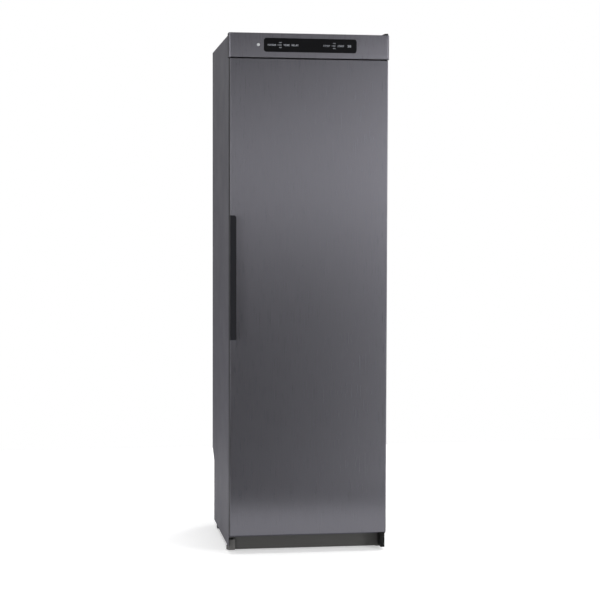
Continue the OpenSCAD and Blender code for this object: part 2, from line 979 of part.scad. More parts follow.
// Liner that closes the pan; its middle field is pressed out towards the racks.
module door_liner() {
    color(steel_inner) at_front() difference() {
        union() {
            box(
                [door_sheet - door_half, liner_front, door_bottom + door_sheet],
                [door_half - door_sheet, door_thickness, door_top - door_sheet]
            );
            box([-liner_half, liner_front, field_bottom], [liner_half, field_face, field_top]);
        }
        box(
            [liner_sheet - liner_half, liner_front - cut, field_bottom + liner_sheet],
            [liner_half - liner_sheet, field_face - liner_sheet, field_top - liner_sheet]
        );
    }
}

module door_insulation() {
    color([0.82, 0.8, 0.72]) at_front() box(
        [bush_radius - hinge_x + 4, liner_front - door_board, door_bottom + 2 * bush_length],
        [hinge_x - bush_radius - 4, liner_front, door_top - 2 * bush_length]
    );
}

gasket_half = cavity_half + gasket_width + 2;
gasket_low = cavity_floor - gasket_width - 4;
gasket_high = cavity_ceiling + gasket_width + 4;
gasket_middle = (gasket_low + gasket_high) / 2;
gasket_reach = (gasket_high - gasket_low) / 2;

// One mitred strip of the gasket: an outline in X and Z, its long side outwards.
module gasket_strip(reach, out) {
    polygon([
        [-reach, out],
        [reach, out],
        [reach - gasket_width, out - gasket_width],
        [gasket_width - reach, out - gasket_width]
    ]);
}

// Magnetic gasket of four mitred strips round the liner's margin.
module door_gasket() {
    color([0.15, 0.15, 0.16]) at_front() translate([0, door_thickness, gasket_middle])
        for (side = [0, 180]) rotate([0, side, 0]) {
            push_y(gasket_thickness - touch_gap) gasket_strip(gasket_half, gasket_reach);
            push_y(gasket_thickness - touch_gap) rotate(90) gasket_strip(gasket_reach, gasket_half);
        }
}

// A flanged bush, its flange below the origin and its barrel above.
module bush() {
    difference() {
        union() {
            translate([0, 0, -bush_flange]) cylinder(r = bush_flange_radius, h = bush_flange);
            cylinder(r = bush_radius, h = bush_length);
        }
        translate([0, 0, -bush_flange - cut])
            cylinder(r = pin_radius + running_gap, h = bush_flange + bush_length + 2 * cut);
    }
}

module hinge_bushes() {
    color(black_plastic) at_front() {
        translate([hinge_x, hinge_setback, door_bottom]) bush();
        translate([hinge_x, hinge_setback, door_top]) mirror([0, 0, 1]) bush();
    }
}

handle_left = door_half + handle_wall;
handle_top = handle_bottom + handle_length;
handle_right = handle_left - handle_width;
cap_sheet = 3;
handle_chamfer = 6;

// Front outline of the handle: chamfered at the upper free corner, cut at the lower.
module handle_outline() {
    polygon([
        [-handle_left, handle_bottom],
        [-handle_right - handle_chamfer / 2, handle_bottom],
        [-handle_right, handle_bottom + handle_chamfer / 2],
        [-handle_right, handle_top - handle_chamfer],
        [-handle_right - handle_chamfer, handle_top],
        [-handle_left, handle_top]
    ]);
}

// Hooked grip profile that wraps round the door's left edge.
module handle() {
    color(black_plastic) at_front() intersection() {
        translate([0, 0, handle_bottom + cap_sheet])
            linear_extrude(height = handle_length - 2 * cap_sheet) {
                translate([-handle_left, -handle_proud])
                    square([handle_wall, handle_proud + handle_grip]);
                translate([-handle_left, -handle_proud]) square([handle_width, handle_wall]);
                translate([-handle_right - handle_wall, -handle_proud])
                    square([handle_wall, handle_lip]);
            }
        translate([0, -handle_proud - cut, 0])
            push_y(handle_proud + handle_grip + 2 * cut) handle_outline();
    }
}

// End caps that close the profile and rest on the door's front and edge.
module handle_caps() {
    color(black_plastic) at_front() for (z = [handle_bottom, handle_top - cap_sheet]) intersection() {
        union() {
            box([-handle_left, -handle_proud, z], [-handle_right, -touch_gap, z + cap_sheet]);
            box([-handle_left, -handle_proud, z], [-door_half, handle_grip, z + cap_sheet]);
        }
        translate([0, -handle_proud - cut, 0])
            push_y(handle_proud + handle_grip + 2 * cut) handle_outline();
    }
}

rack_bar_sheet = 3;
rack_bar_height = 14;
rack_bar_half = 190;
upright_width = 14;
peg_row_low = 560;
peg_row_rise = 240;
peg_tilt = 8;
peg_face = field_face + 2 * rack_bar_sheet;

// Two uprights on the door's liner with the cross bars that hold the pegs.
module glove_rack_bars() {
    color("silver") at_front() {
        for (side = [0, 1]) mirror([side, 0, 0]) box(
            [rack_bar_half - upright_width, field_face, peg_row_low - rack_bar_height],
            [
                rack_bar_half,
                field_face + rack_bar_sheet,
                peg_row_low + (peg_rows - 1) * peg_row_rise + rack_bar_height
            ]
        );
        for (row = [0:peg_rows - 1]) translate([0, 0, peg_row_low + row * peg_row_rise]) box(
            [-rack_bar_half, field_face + rack_bar_sheet, -rack_bar_height / 2],
            [rack_bar_half, peg_face, rack_bar_height / 2]
        );
    }
}

// Straight pegs, a little raised at the tip, for gloves, hats and boots.
module glove_rack_pegs() {
    pitch = 2 * (rack_bar_half - upright_width) / (pegs_across - 1);
    color("silver") at_front() for (row = [0:peg_rows - 1], i = [0:pegs_across - 1])
        translate([
            (i - (pegs_across - 1) / 2) * pitch,
            peg_face,
            peg_row_low + row * peg_row_rise
        ]) intersection() {
            rotate([peg_tilt, 0, 0]) translate([0, -cut, 0]) rod_y(peg_radius, peg_length + cut);
            box([-peg_length, 0, -peg_length], [peg_length, 2 * peg_length, peg_length]);
        }
}

bracket_reach = 40;
bracket_low = 16;
bracket_high = 14;

// Plate with the pivot's hole and the ledge that the arm rests on.
module rack_bracket(z) {
    difference() {
        box(
            [cavity_half - bracket_sheet, pivot_y - bracket_reach, z - bracket_low],
            [cavity_half, pivot_y + bracket_high, z + bracket_high]
        );
        translate([cavity_half - bracket_sheet - cut, pivot_y, z])
            rod_x(rack_pivot_radius + running_gap, bracket_sheet + 2 * cut);
    }
    box(
        [arm_inner, pivot_y - bracket_reach, z - bracket_low],
        [cavity_half - bracket_sheet, pivot_y - bracket_reach + 12, z - arm_height / 2 - touch_gap]
    );
}

module rack_brackets() {
    color("silver") at_front() for (side = [0, 1]) mirror([side, 0, 0]) {
        rack_bracket(shelf_z);
        for (z = rack_levels) rack_bracket(z);
    }
}

// The two flat arms of a rack, each with its pivot stub.
module rack_arms(z, reach) {
    at_front() for (side = [0, 1]) mirror([side, 0, 0]) translate([arm_inner, pivot_y, z]) {
        push_x(arm_sheet) {
            translate([-reach, -arm_height / 2]) square([reach, arm_height]);
            circle(r = arm_height / 2);
            translate([-reach, 0]) circle(r = arm_height / 2);
        }
        rod_x(rack_pivot_radius, cavity_half - arm_inner - touch_gap);
    }
}

// Rods across a rack, evenly spaced from near the pivot to the front end.
module rack_rods_at(z, reach, count) {
    pitch = (reach - first_rod) / (count - 1);
    at_front() for (i = [0:count - 1])
        translate([-arm_inner, pivot_y - first_rod - i * pitch, z]) rod_x(rod_radius, 2 * arm_inner);
}

module rack_bottom_arms() {
    color("silver") rack_arms(rack_levels[0], rack_reach);
}

module rack_bottom_rods() {
    color("silver") rack_rods_at(rack_levels[0], rack_reach, rack_rods);
}

module rack_middle_arms() {
    color("silver") rack_arms(rack_levels[1], rack_reach);
}

module rack_middle_rods() {
    color("silver") rack_rods_at(rack_levels[1], rack_reach, rack_rods);
}

module rack_top_arms() {
    color("silver") rack_arms(rack_levels[2], rack_reach);
}

module rack_top_rods() {
    color("silver") rack_rods_at(rack_levels[2], rack_reach, rack_rods);
}

module shoe_shelf_arms() {
    color("silver") rack_arms(shelf_z, shelf_reach);
}

module shoe_shelf_rods() {
    color("silver") rack_rods_at(shelf_z, shelf_reach, shelf_rods);
}

switch_half = 12;
switch_depth = 31;
plunger_length = 20;
plunger_room = 4;

// Switch block behind the top rail, with the blind hole its plunger slides in.
module door_switch() {
    color(black_plastic) at_front() difference() {
        box(
            [switch_x - switch_half, wall_front + frame_sheet, switch_z - switch_half],
            [switch_x + switch_half, wall_front + frame_sheet + switch_depth, switch_z + switch_half]
        );
        translate([switch_x, door_thickness, switch_z])
            rod_y(plunger_radius + running_gap, plunger_length + plunger_room);
    }
}

module switch_plunger() {
    color("white") at_front() translate([switch_x, door_thickness + 2 * touch_gap, switch_z]) {
        rod_y(plunger_radius - 1, 1);
        translate([0, 1, 0]) rod_y(plunger_radius, plunger_length - 1);
    }
}

motor_height = 46;
motor_flange = 3;
motor_foot = 6;
motor_floor = 5;
collar_wall = 6;
collar_height = 4;
shaft_rest = 1;

// Motor on a square foot plate, with the bearing hole for its shaft.
module fan_motor() {
    foot = motor_radius + motor_foot;
    color([0.55, 0.56, 0.58]) at_front() translate([fan_x, fan_y, machine_floor]) difference() {
        union() {
            box([-foot, -foot, 0], [foot, foot, motor_flange]);
            cylinder(r = motor_radius, h = motor_height);
            cylinder(r = shaft_radius + collar_wall, h = motor_height + collar_height);
        }
        translate([0, 0, motor_flange + motor_floor])
            cylinder(r = shaft_radius + running_gap, h = motor_height + cut);
    }
}

impeller_lift = 7;
impeller_base = scroll_base + impeller_lift;
hub_height = 26;
hub_wall = 8;

module motor_shaft() {
    low = machine_floor + motor_flange + motor_floor + shaft_rest;
    color("silver") at_front() translate([fan_x, fan_y, low])
        cylinder(r = shaft_radius, h = impeller_base + hub_height - low);
}

blade_sheet = 1.5;
plate_sheet = 2;
shroud_inner = 50;
rim_radius = impeller_radius - 2;
// The centre of each blade's arc lies on this radius
blade_offset = 16;
blade_centre = eye_radius + blade_offset;

// Angle round the arc's centre at which a blade is at the given radius.
function blade_angle(radius) =
    acos((radius * radius - blade_centre * blade_centre - blade_curve * blade_curve)
        / (2 * blade_centre * blade_curve));

// Hub, back plate, backward-curved blades and shroud ring.
module fan_impeller() {
    first = blade_angle(rim_radius);
    last = blade_angle(eye_radius);
    color([0.7, 0.72, 0.75]) at_front() translate([fan_x, fan_y, impeller_base]) {
        difference() {
            union() {
                cylinder(r = impeller_radius, h = plate_sheet);
                cylinder(r = shaft_radius + hub_wall, h = hub_height);
            }
            translate([0, 0, -cut]) cylinder(r = shaft_radius, h = hub_height + 2 * cut);
        }
        for (i = [0:impeller_blades - 1]) rotate(i * 360 / impeller_blades)
            translate([blade_centre, 0, plate_sheet / 2]) rotate(first)
                rotate_extrude(angle = last - first) translate([blade_curve, 0])
                    square([blade_sheet, impeller_height - plate_sheet]);
        translate([0, 0, impeller_height - plate_sheet]) difference() {
            cylinder(r = impeller_radius, h = plate_sheet);
            translate([0, 0, -cut]) cylinder(r = shroud_inner, h = plate_sheet + 2 * cut);
        }
    }
}

scroll_step = 10;

// Spiral outline, grown by the given wall, with the straight outlet towards +X.
module scroll_outline(grow) {
    polygon([
        for (a = [0:scroll_step:360])
            (scroll_start + scroll_growth * a / 360 + grow) * [cos(a - 90), sin(a - 90)]
    ]);
    translate([0, -scroll_end - grow])
        square([outlet_length, scroll_growth + 2 * grow]);
}

leg_radius = 5;
leg_offset = 38;

// Scroll housing: spiral wall, floor, cover with the inlet, and legs to the ceiling.
module fan_scroll() {
    color([0.66, 0.68, 0.7]) at_front() translate([fan_x, fan_y, scroll_base]) {
        linear_extrude(height = scroll_height) difference() {
            scroll_outline(scroll_wall);
            scroll_outline(0);
            translate([outlet_length / 2, -scroll_end])
                square([outlet_length, scroll_growth]);
        }
        linear_extrude(height = scroll_wall) difference() {
            scroll_outline(scroll_wall);
            circle(r = shaft_radius + 10);
        }
        translate([0, 0, scroll_height - scroll_wall]) linear_extrude(height = scroll_wall)
            difference() {
                scroll_outline(scroll_wall);
                circle(r = shroud_inner - 2);
            }
        for (a = [45, 135, 225, 315])
            translate(
                (motor_radius + leg_offset) * [cos(a), sin(a), 0] - [0, 0, scroll_base - machine_floor]
            ) cylinder(r = leg_radius, h = scroll_base - machine_floor + scroll_wall / 2);
    }
}

duct_sheet = 1;
pass_pitch = 16;
pass_left = 14;
pass_right = 24;
coil_lift = 52;
coil_z = machine_floor + coil_lift;

// Y of the middle of the first pass.
function first_pass() =
    (duct_front + duct_back) / 2 - (heater_passes - 1) * pass_pitch / 2;

// Box over the ceiling's slots, fed by the scroll's outlet and crossed by the coil.
module heater_duct() {
    color([0.72, 0.74, 0.76]) at_front() difference() {
        shell(
            [duct_left, duct_front, machine_floor],
            [duct_left + duct_length, duct_back, duct_top],
            duct_sheet,
            open_low = [0, 0, 1]
        );
        box(
            [duct_left - cut, fan_y - scroll_end, scroll_base + scroll_wall],
            [duct_left + duct_sheet + cut, fan_y - scroll_start, duct_top - scroll_wall]
        );
        for (y = [first_pass(), first_pass() + (heater_passes - 1) * pass_pitch])
            translate([duct_left + duct_length - duct_sheet - cut, y, coil_z])
                rod_x(heater_tube + seat_gap, duct_sheet + 2 * cut);
    }
}

// Half ring that joins two passes.
module return_bend() {
    rotate_extrude(angle = 180) translate([pass_pitch / 2, 0]) circle(r = heater_tube);
}

terminal_plate = 3;
terminal_length = 18;

// Tubular heater bent to and fro, its two ends through a plate outside the duct.
module heater_coil() {
    bend_left = duct_left + pass_left + pass_pitch / 2;
    bend_right = duct_left + duct_length - pass_right - pass_pitch / 2;
    plate_x = duct_left + duct_length;
    color([0.5, 0.3, 0.25]) at_front() {
        for (i = [0:heater_passes - 1]) {
            y = first_pass() + i * pass_pitch;
            outer = i == 0 || i == heater_passes - 1;
            end = outer ? plate_x + terminal_plate + terminal_length : bend_right;
            translate([bend_left, y, coil_z]) rod_x(heater_tube, end - bend_left);
        }
        for (i = [0:2:heater_passes - 2])
            translate([bend_left, first_pass() + (i + 0.5) * pass_pitch, coil_z])
                rotate(90) return_bend();
        if (heater_passes > 2) for (i = [1:2:heater_passes - 3])
            translate([bend_right, first_pass() + (i + 0.5) * pass_pitch, coil_z])
                rotate(-90) return_bend();
        box(
            [plate_x, first_pass() - pass_pitch / 2, coil_z - 9],
            [
                plate_x + terminal_plate,
                first_pass() + (heater_passes - 0.5) * pass_pitch,
                coil_z + 9
            ]
        );
    }
}

thermostat_radius = 9;
thermostat_height = 8;
tab = [1, 6, 8];
tab_offset = 4;

// Disc thermostat on top of the heater duct with its two tabs.
module thermostat() {
    color([0.9, 0.88, 0.8]) at_front()
        translate([duct_left + duct_length / 2, (duct_front + duct_back) / 2, duct_top]) {
            cylinder(r = thermostat_radius, h = thermostat_height);
            for (x = [-1, 1]) translate([x * tab_offset, 0, thermostat_height + tab[2] / 2])
                cube(tab, center = true);
        }
}

// Box from the air gap behind the rear lining up to the spigot.
module exhaust_plenum() {
    color([0.72, 0.74, 0.76]) at_front() difference() {
        shell(
            [-plenum_half, plenum_front, machine_floor],
            [plenum_half, plenum_back, under_top],
            duct_sheet
        );
        box(
            [duct_sheet - plenum_half, duct_mouth_front, machine_floor - cut],
            [
                plenum_half - duct_sheet,
                min(plenum_back - duct_sheet, back_outer - wall_sheet - wall_board),
                machine_floor + duct_sheet + cut
            ]
        );
        translate([0, spigot_y, under_top - duct_sheet - cut])
            cylinder(r = spigot_radius - spigot_wall, h = duct_sheet + 2 * cut);
    }
}

spigot_flange = 14;

// Round spigot for a flexible duct, with its flange on the top panel.
module exhaust_spigot() {
    inner = spigot_radius - spigot_wall;
    color([0.75, 0.76, 0.78]) at_front() translate([0, spigot_y, wall_top]) rotate_extrude() polygon([
        [inner, 0],
        [spigot_radius + spigot_flange, 0],
        [spigot_radius + spigot_flange, spigot_wall],
        [spigot_radius, spigot_wall],
        [spigot_radius, spigot_height],
        [inner, spigot_height]
    ]);
}

terminal_size = [70, 46, 60];
gland_inside = 10;
gland_outside = 12;

// Box for the mains terminals, open towards the gland.
module terminal_box() {
    face = back_outer - wall_sheet - gland_inside - 2;
    color(black_plastic) at_front() shell(
        [gland_x - terminal_size[0] / 2, face - terminal_size[1], gland_z - terminal_size[2] / 2],
        [gland_x + terminal_size[0] / 2, face, gland_z + terminal_size[2] / 2],
        2,
        open_high = [0, 1, 0]
    );
}

// Gland with its nut inside and its dome outside the back panel.
module cable_gland() {
    start = back_outer - wall_sheet - gland_inside;
    color(black_plastic) at_front() translate([gland_x, 0, gland_z]) difference() {
        union() {
            translate([0, start, 0]) rod_y(gland_thread, back_outer + gland_outside - start);
            translate([0, back_outer - wall_sheet - 6, 0]) rod_y(gland_thread + 4, 6);
            translate([0, back_outer, 0]) rod_y(gland_thread + 4, 5);
        }
        translate([0, start - cut, 0]) rod_y(gland_bore, back_outer + gland_outside - start + 2 * cut);
    }
}

side_wall_left();
side_wall_right();
top_panel();
back_panel();
niche_panel();
bottom_pan();
front_frame();
inner_walls();
inner_back();
ceiling_panel();
floor_tray();
insulation();
base_frame();
plinth();
foot_block_left();
foot_block_right();
levelling_foot_left();
levelling_foot_right();
roller_axles();
roller_left();
roller_right();
fascia();
display_glass();
panel_carrier();
control_board();
power_button();
hinge_cap();
upper_hinge();
lower_hinge();
door_skin();
door_liner();
door_insulation();
door_gasket();
hinge_bushes();
handle();
handle_caps();
glove_rack_bars();
glove_rack_pegs();
rack_brackets();
rack_top_arms();
rack_top_rods();
rack_middle_arms();
rack_middle_rods();
rack_bottom_arms();
rack_bottom_rods();
shoe_shelf_arms();
shoe_shelf_rods();
door_switch();
switch_plunger();
fan_motor();
motor_shaft();
fan_impeller();
fan_scroll();
heater_duct();
heater_coil();
thermostat();
exhaust_plenum();
exhaust_spigot();
terminal_box();
cable_gland();
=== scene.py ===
"""Drying cabinet: finishes, legends, screws, gasket and other small pieces round the fixed frame.

Every length is in metres, in the frame's own axes: X to the right, Y to the back, Z up.
"""

import json
import math

import bmesh
import bpy
import numpy as np
from bpy.props import (
    BoolProperty,
    FloatProperty,
    FloatVectorProperty,
    IntProperty,
    PointerProperty,
)
from bpy.types import Operator, Panel, PropertyGroup
from mathutils import Matrix, Vector


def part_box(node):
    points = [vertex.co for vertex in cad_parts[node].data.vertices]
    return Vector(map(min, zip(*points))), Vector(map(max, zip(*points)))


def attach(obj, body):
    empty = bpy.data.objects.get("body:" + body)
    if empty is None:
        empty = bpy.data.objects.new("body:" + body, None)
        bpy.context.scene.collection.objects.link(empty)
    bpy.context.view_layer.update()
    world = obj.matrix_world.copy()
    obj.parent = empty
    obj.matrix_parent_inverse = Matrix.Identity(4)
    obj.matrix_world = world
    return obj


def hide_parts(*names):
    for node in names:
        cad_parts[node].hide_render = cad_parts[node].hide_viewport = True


bl_info = {
    "name": "Drying Cabinet",
    "version": (1, 0, 0),
    "blender": (4, 5, 0),
    "location": "3D View > Sidebar > Cabinet",
    "description": "Finishes, trim and stage of a single-door drying cabinet",
    "category": "Object",
}

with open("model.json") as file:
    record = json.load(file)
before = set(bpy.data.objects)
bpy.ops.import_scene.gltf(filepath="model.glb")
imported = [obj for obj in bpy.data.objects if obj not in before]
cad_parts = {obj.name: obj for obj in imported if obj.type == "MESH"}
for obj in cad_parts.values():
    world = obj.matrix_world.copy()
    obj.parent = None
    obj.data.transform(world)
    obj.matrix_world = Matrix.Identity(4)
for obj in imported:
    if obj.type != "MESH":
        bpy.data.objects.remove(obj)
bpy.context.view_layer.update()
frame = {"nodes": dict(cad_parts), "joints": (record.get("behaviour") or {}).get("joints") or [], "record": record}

MM = 0.001
FLOOR_Z = 0.0
FORWARD, REARWARD, UPWARD = (0, -1, 0), (0, 1, 0), (0, 0, 1)
MERGE_DISTANCE = 0.001 * MM
# The part of a noise pattern's values that its finish is spread over.
MIDDLE_RANGE = (0.3, 0.7)

# The side faces of the door and the fascia are made dark and matt from this far from the middle,
# just inside those faces. The fascia's underside is darkened this far up, a painted shade of the gap above the
# door.
DOOR_DARK_FROM = 292.4 * MM
FASCIA_DARK_FROM = 296.8 * MM
UNDERSIDE_SHADE_HEIGHT = 1.2 * MM
DARK_EDGE_ROUGHNESS = 0.6
DARK_EDGE_SHINE = 0.05
# Painted light: the fascia's steel is a copy of the door's, made this much brighter.
FASCIA_PAINTED_LIGHT = 1.38

# Levels of the studio's walls and roof, where a plain white wall is 1.
FAR_FLOOR = 0.4
DARK_WALL = 0.0
LIGHT_BAND = 2.0
BACK_WALL = 1.4
DOME = 0.2
ROOF = 0.5
# They are mixed by how steeply a direction climbs: the steepness, and the level there. In front
# a light band stands at the height of the door's middle, over a dark wall.
FRONT_RAMP = (
    (-0.18, FAR_FLOOR), (-0.13, DARK_WALL), (-0.02, DARK_WALL), (0.03, LIGHT_BAND),
    (0.07, 0.25 * LIGHT_BAND), (0.12, DOME), (0.7, DOME), (0.9, ROOF),
)
BEHIND_RAMP = (
    (-0.1, DARK_WALL), (0.0, 0.6 * BACK_WALL), (0.12, BACK_WALL), (0.35, ROOF), (0.7, DOME),
    (0.9, ROOF),
)
# Soft boxes: place, point aimed at, width, height and power.
SOFT_BOXES = (
    ("right_box", (1.8, -2.2, 0.6), (0.3, -0.3, 0.6), 0.6, 3.2, 56.0),
    ("left_box", (-3.0, -2.6, 1.2), (0.0, -0.3, 1.1), 1.2, 2.4, 33.0),
    ("back_box", (3.0, 3.6, 2.2), (0.0, 0.3, 1.0), 1.5, 2.0, 70.0),
    ("top_box", (0.1, -0.2, 7.0), (0.1, -0.2, 0.0), 1.6, 1.6, 240.0),
)
# The walls in front turn into those behind while a direction's Y goes from minus this to this.
WALL_BLEND = 0.35
FLOOR_WHITE = (0.9, 0.9, 0.9)
# The camera's sensor in millimetres, and how far it sees in metres.
SENSOR_WIDTH = 36.0
FAR_CLIP = 200.0


# ---------------------------------------------------------------- settings


class CabinetFinishSettings(PropertyGroup):
    """Colours of the main finishes, as linear light."""

    front_color: FloatVectorProperty(
        name="Front steel", description="Door and fascia", subtype="COLOR",
        size=3, min=0.0, max=1.0, default=(0.120, 0.118, 0.133),
    )
    side_color: FloatVectorProperty(
        name="Side paint", description="Side walls and top", subtype="COLOR",
        size=3, min=0.0, max=1.0, default=(0.078, 0.076, 0.092),
    )
    lining_color: FloatVectorProperty(
        name="Lining", description="Steel inside the drying space", subtype="COLOR",
        size=3, min=0.0, max=1.0, default=(0.60, 0.61, 0.62),
    )
    handle_color: FloatVectorProperty(
        name="Handle", description="Black anodised grip", subtype="COLOR",
        size=3, min=0.0, max=1.0, default=(0.016, 0.016, 0.019),
    )
    plinth_color: FloatVectorProperty(
        name="Plinth", description="Kick plate", subtype="COLOR",
        size=3, min=0.0, max=1.0, default=(0.049, 0.048, 0.046),
    )
    legend_color: FloatVectorProperty(
        name="Legends", description="Lit marks on the display", subtype="COLOR",
        size=3, min=0.0, max=1.0, default=(0.28, 0.29, 0.32),
    )
    front_roughness: FloatProperty(
        name="Front roughness", description="Roughness of the front steel",
        min=0.0, max=1.0, default=0.29,
    )
    front_spread: FloatProperty(
        name="Front spread", description="How far the grain draws the gloss out sideways",
        min=0.0, max=1.0, default=0.96,
    )


class CabinetDetailSettings(PropertyGroup):
    """Sizes of the small pieces."""

    screw_radius: FloatProperty(
        name="Screw head radius", description="Radius of the pan heads",
        default=3.6 * MM, min=1.0 * MM, unit="LENGTH",
    )
    screw_height: FloatProperty(
        name="Screw head height", description="Height of the pan heads",
        default=2.2 * MM, min=0.5 * MM, unit="LENGTH",
    )
    legend_depth: FloatProperty(
        name="Legend depth", description="How far the printed marks stand on the glass",
        default=0.12 * MM, min=0.01 * MM, unit="LENGTH",
    )


class CabinetStageSettings(PropertyGroup):
    """Camera, floor and lights."""

    camera_place: FloatVectorProperty(
        name="Camera", description="Place of the camera", subtype="XYZ", unit="LENGTH",
        size=3, default=(-0.8934, -6.1214, 1.2110),
    )
    camera_turn: FloatVectorProperty(
        name="Camera turn", description="Yaw, pitch and roll of the camera",
        size=3, unit="ROTATION",
        default=(math.radians(-8.439), math.radians(-2.655), math.radians(0.144)),
    )
    camera_lens: FloatProperty(
        name="Lens", description="Focal length, in millimetres",
        default=95.424, min=10.0, unit="CAMERA",
    )
    floor_half: FloatProperty(
        name="Floor half width", description="Half the side of the floor",
        default=2.5, min=2.0, unit="LENGTH",
    )
    floor_front: FloatProperty(
        name="Floor front", description="How far the floor reaches in front of the cabinet",
        default=1.3, min=1.0, unit="LENGTH",
    )
    floor_glow: FloatProperty(
        name="Floor glow", description="Light of the lit floor panel itself",
        default=0.42, min=0.0,
    )
    world_strength: FloatProperty(
        name="World strength", description="Brightness of the studio's walls",
        default=1.0, min=0.0,
    )
    use_floor: BoolProperty(name="Floor", description="Lay the pale floor", default=True)
    floor_parts: IntProperty(
        name="Floor parts", description="Cells along each side of the floor", default=8, min=1
    )


# ---------------------------------------------------------------- mesh building


def mesh_piece(name, vertices, faces, smooth=True, angle=35.0):
    """Makes a mesh object of vertex and face arrays.

    Doubles are merged and faces turned outwards. Edges sharper than the angle stay sharp.
    """
    mesh = bpy.data.meshes.new(name)
    mesh.from_pydata(np.asarray(vertices, dtype=float).tolist(), [], np.asarray(faces).tolist())
    work = bmesh.new()
    work.from_mesh(mesh)
    bmesh.ops.remove_doubles(work, verts=work.verts, dist=MERGE_DISTANCE)
    bmesh.ops.recalc_face_normals(work, faces=work.faces)
    work.to_mesh(mesh)
    work.free()
    piece = bpy.data.objects.new(name, mesh)
    bpy.context.scene.collection.objects.link(piece)
    if smooth:
        mesh.shade_smooth()
        mesh.set_sharp_from_angle(angle=math.radians(angle))
    return piece


def grid_faces(rows, columns, wrap_rows=False, wrap_columns=False):
    """Quads of a grid of rows by columns vertices.

    A wrapped side joins its last line of vertices to its first.
    """
    i = np.arange(rows if wrap_rows else rows - 1)
    j = np.arange(columns if wrap_columns else columns - 1)
    a, b = np.meshgrid(i, j, indexing="ij")
    a2, b2 = (a + 1) % rows, (b + 1) % columns
    quads = [a * columns + b, a2 * columns + b, a2 * columns + b2, a * columns + b2]
    return np.stack(quads, axis=-1).reshape(-1, 4)


def revolve(profile, segments, closed=False):
    """Turns a profile of (radius, height) points about Z.

    The point is (r cos t, r sin t, h) for t over the whole turn. Points on the axis merge later.
    A closed profile's last point joins its first, as on a ring.
    """
    profile = np.asarray(profile, dtype=float)
    turn = np.arange(segments) * 2 * np.pi / segments
    radius, height = profile[:, 0:1], profile[:, 1:2]
    points = np.stack(
        [radius * np.cos(turn), radius * np.sin(turn), height + 0 * turn], axis=-1
    )
    faces = grid_faces(len(profile), segments, wrap_rows=closed, wrap_columns=True)
    return points.reshape(-1, 3), faces


def copies(vertices, faces, matrices):
    """One set of arrays holding a copy of a shape at each 4x4 matrix."""
    vertices = np.asarray(vertices, dtype=float)
    faces = np.asarray(faces)
    matrices = np.asarray(matrices, dtype=float)
    moved = np.einsum("nij,vj->nvi", matrices[:, :3, :3], vertices) + matrices[:, None, :3, 3]
    shift = np.arange(len(matrices))[:, None, None] * len(vertices)
    return moved.reshape(-1, 3), (faces[None] + shift).reshape(-1, faces.shape[1])


def facing(place, direction):
    """A 4x4 matrix that carries +Z to a direction and the origin to a place."""
    turn = Vector(UPWARD).rotation_difference(Vector(direction)).to_matrix().to_4x4()
    return np.array(Matrix.Translation(Vector(place)) @ turn)


def frame_sweep(half_width, half_height, profile, cells):
    """Carries a closed profile round a rectangle in X and Z with mitred corners.

    A profile point is (inset s, depth d). Its line is the rectangle with s taken off both half
    sides, at depth d, walked corner to corner in equal cells.
    """
    profile = np.asarray(profile, dtype=float)
    corner = np.array([[-1, -1], [1, -1], [1, 1], [-1, 1]], dtype=float)
    part = np.linspace(0, 1, cells, endpoint=False)[None, :, None]
    walk = (corner[:, None] * (1 - part) + np.roll(corner, -1, 0)[:, None] * part).reshape(-1, 2)
    inset, depth = profile[:, 0], profile[:, 1]
    points = np.stack(
        [
            walk[:, 0:1] * (half_width - inset),
            np.broadcast_to(depth, (len(walk), len(profile))),
            walk[:, 1:2] * (half_height - inset),
        ],
        axis=-1,
    )
    faces = grid_faces(len(walk), len(profile), wrap_rows=True, wrap_columns=True)
    return points.reshape(-1, 3), faces


def plates(boxes):
    """Arrays of thin boxes, each given as (low x, low y, low z, high x, high y, high z)."""
    boxes = np.asarray(boxes, dtype=float)
    pick = np.array([[x, y, z] for x in (0, 1) for y in (0, 1) for z in (0, 1)])
    low, high = boxes[:, None, :3], boxes[:, None, 3:]
    vertices = np.where(pick[None], high, low)
    faces = np.array(
        [[0, 1, 3, 2], [4, 6, 7, 5], [0, 4, 5, 1], [2, 3, 7, 6], [0, 2, 6, 4], [1, 5, 7, 3]]
    )
    shift = np.arange(len(boxes))[:, None, None] * len(pick)
    return vertices.reshape(-1, 3), (faces[None] + shift).reshape(-1, 4)


def corners(box):
    """The lowest and the highest corner of a node's box, as arrays."""
    return tuple(np.array(corner) for corner in box)


def on_face(xs, y, zs, direction):
    """A place and the way it faces for each x and each z, on an upright face at y."""
    return [((x, y, z), direction) for x in xs for z in zs]


def settle(piece, body, material):
    """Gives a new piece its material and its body."""
    piece.data.materials.append(material)
    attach(piece, body)


# ---------------------------------------------------------------- materials


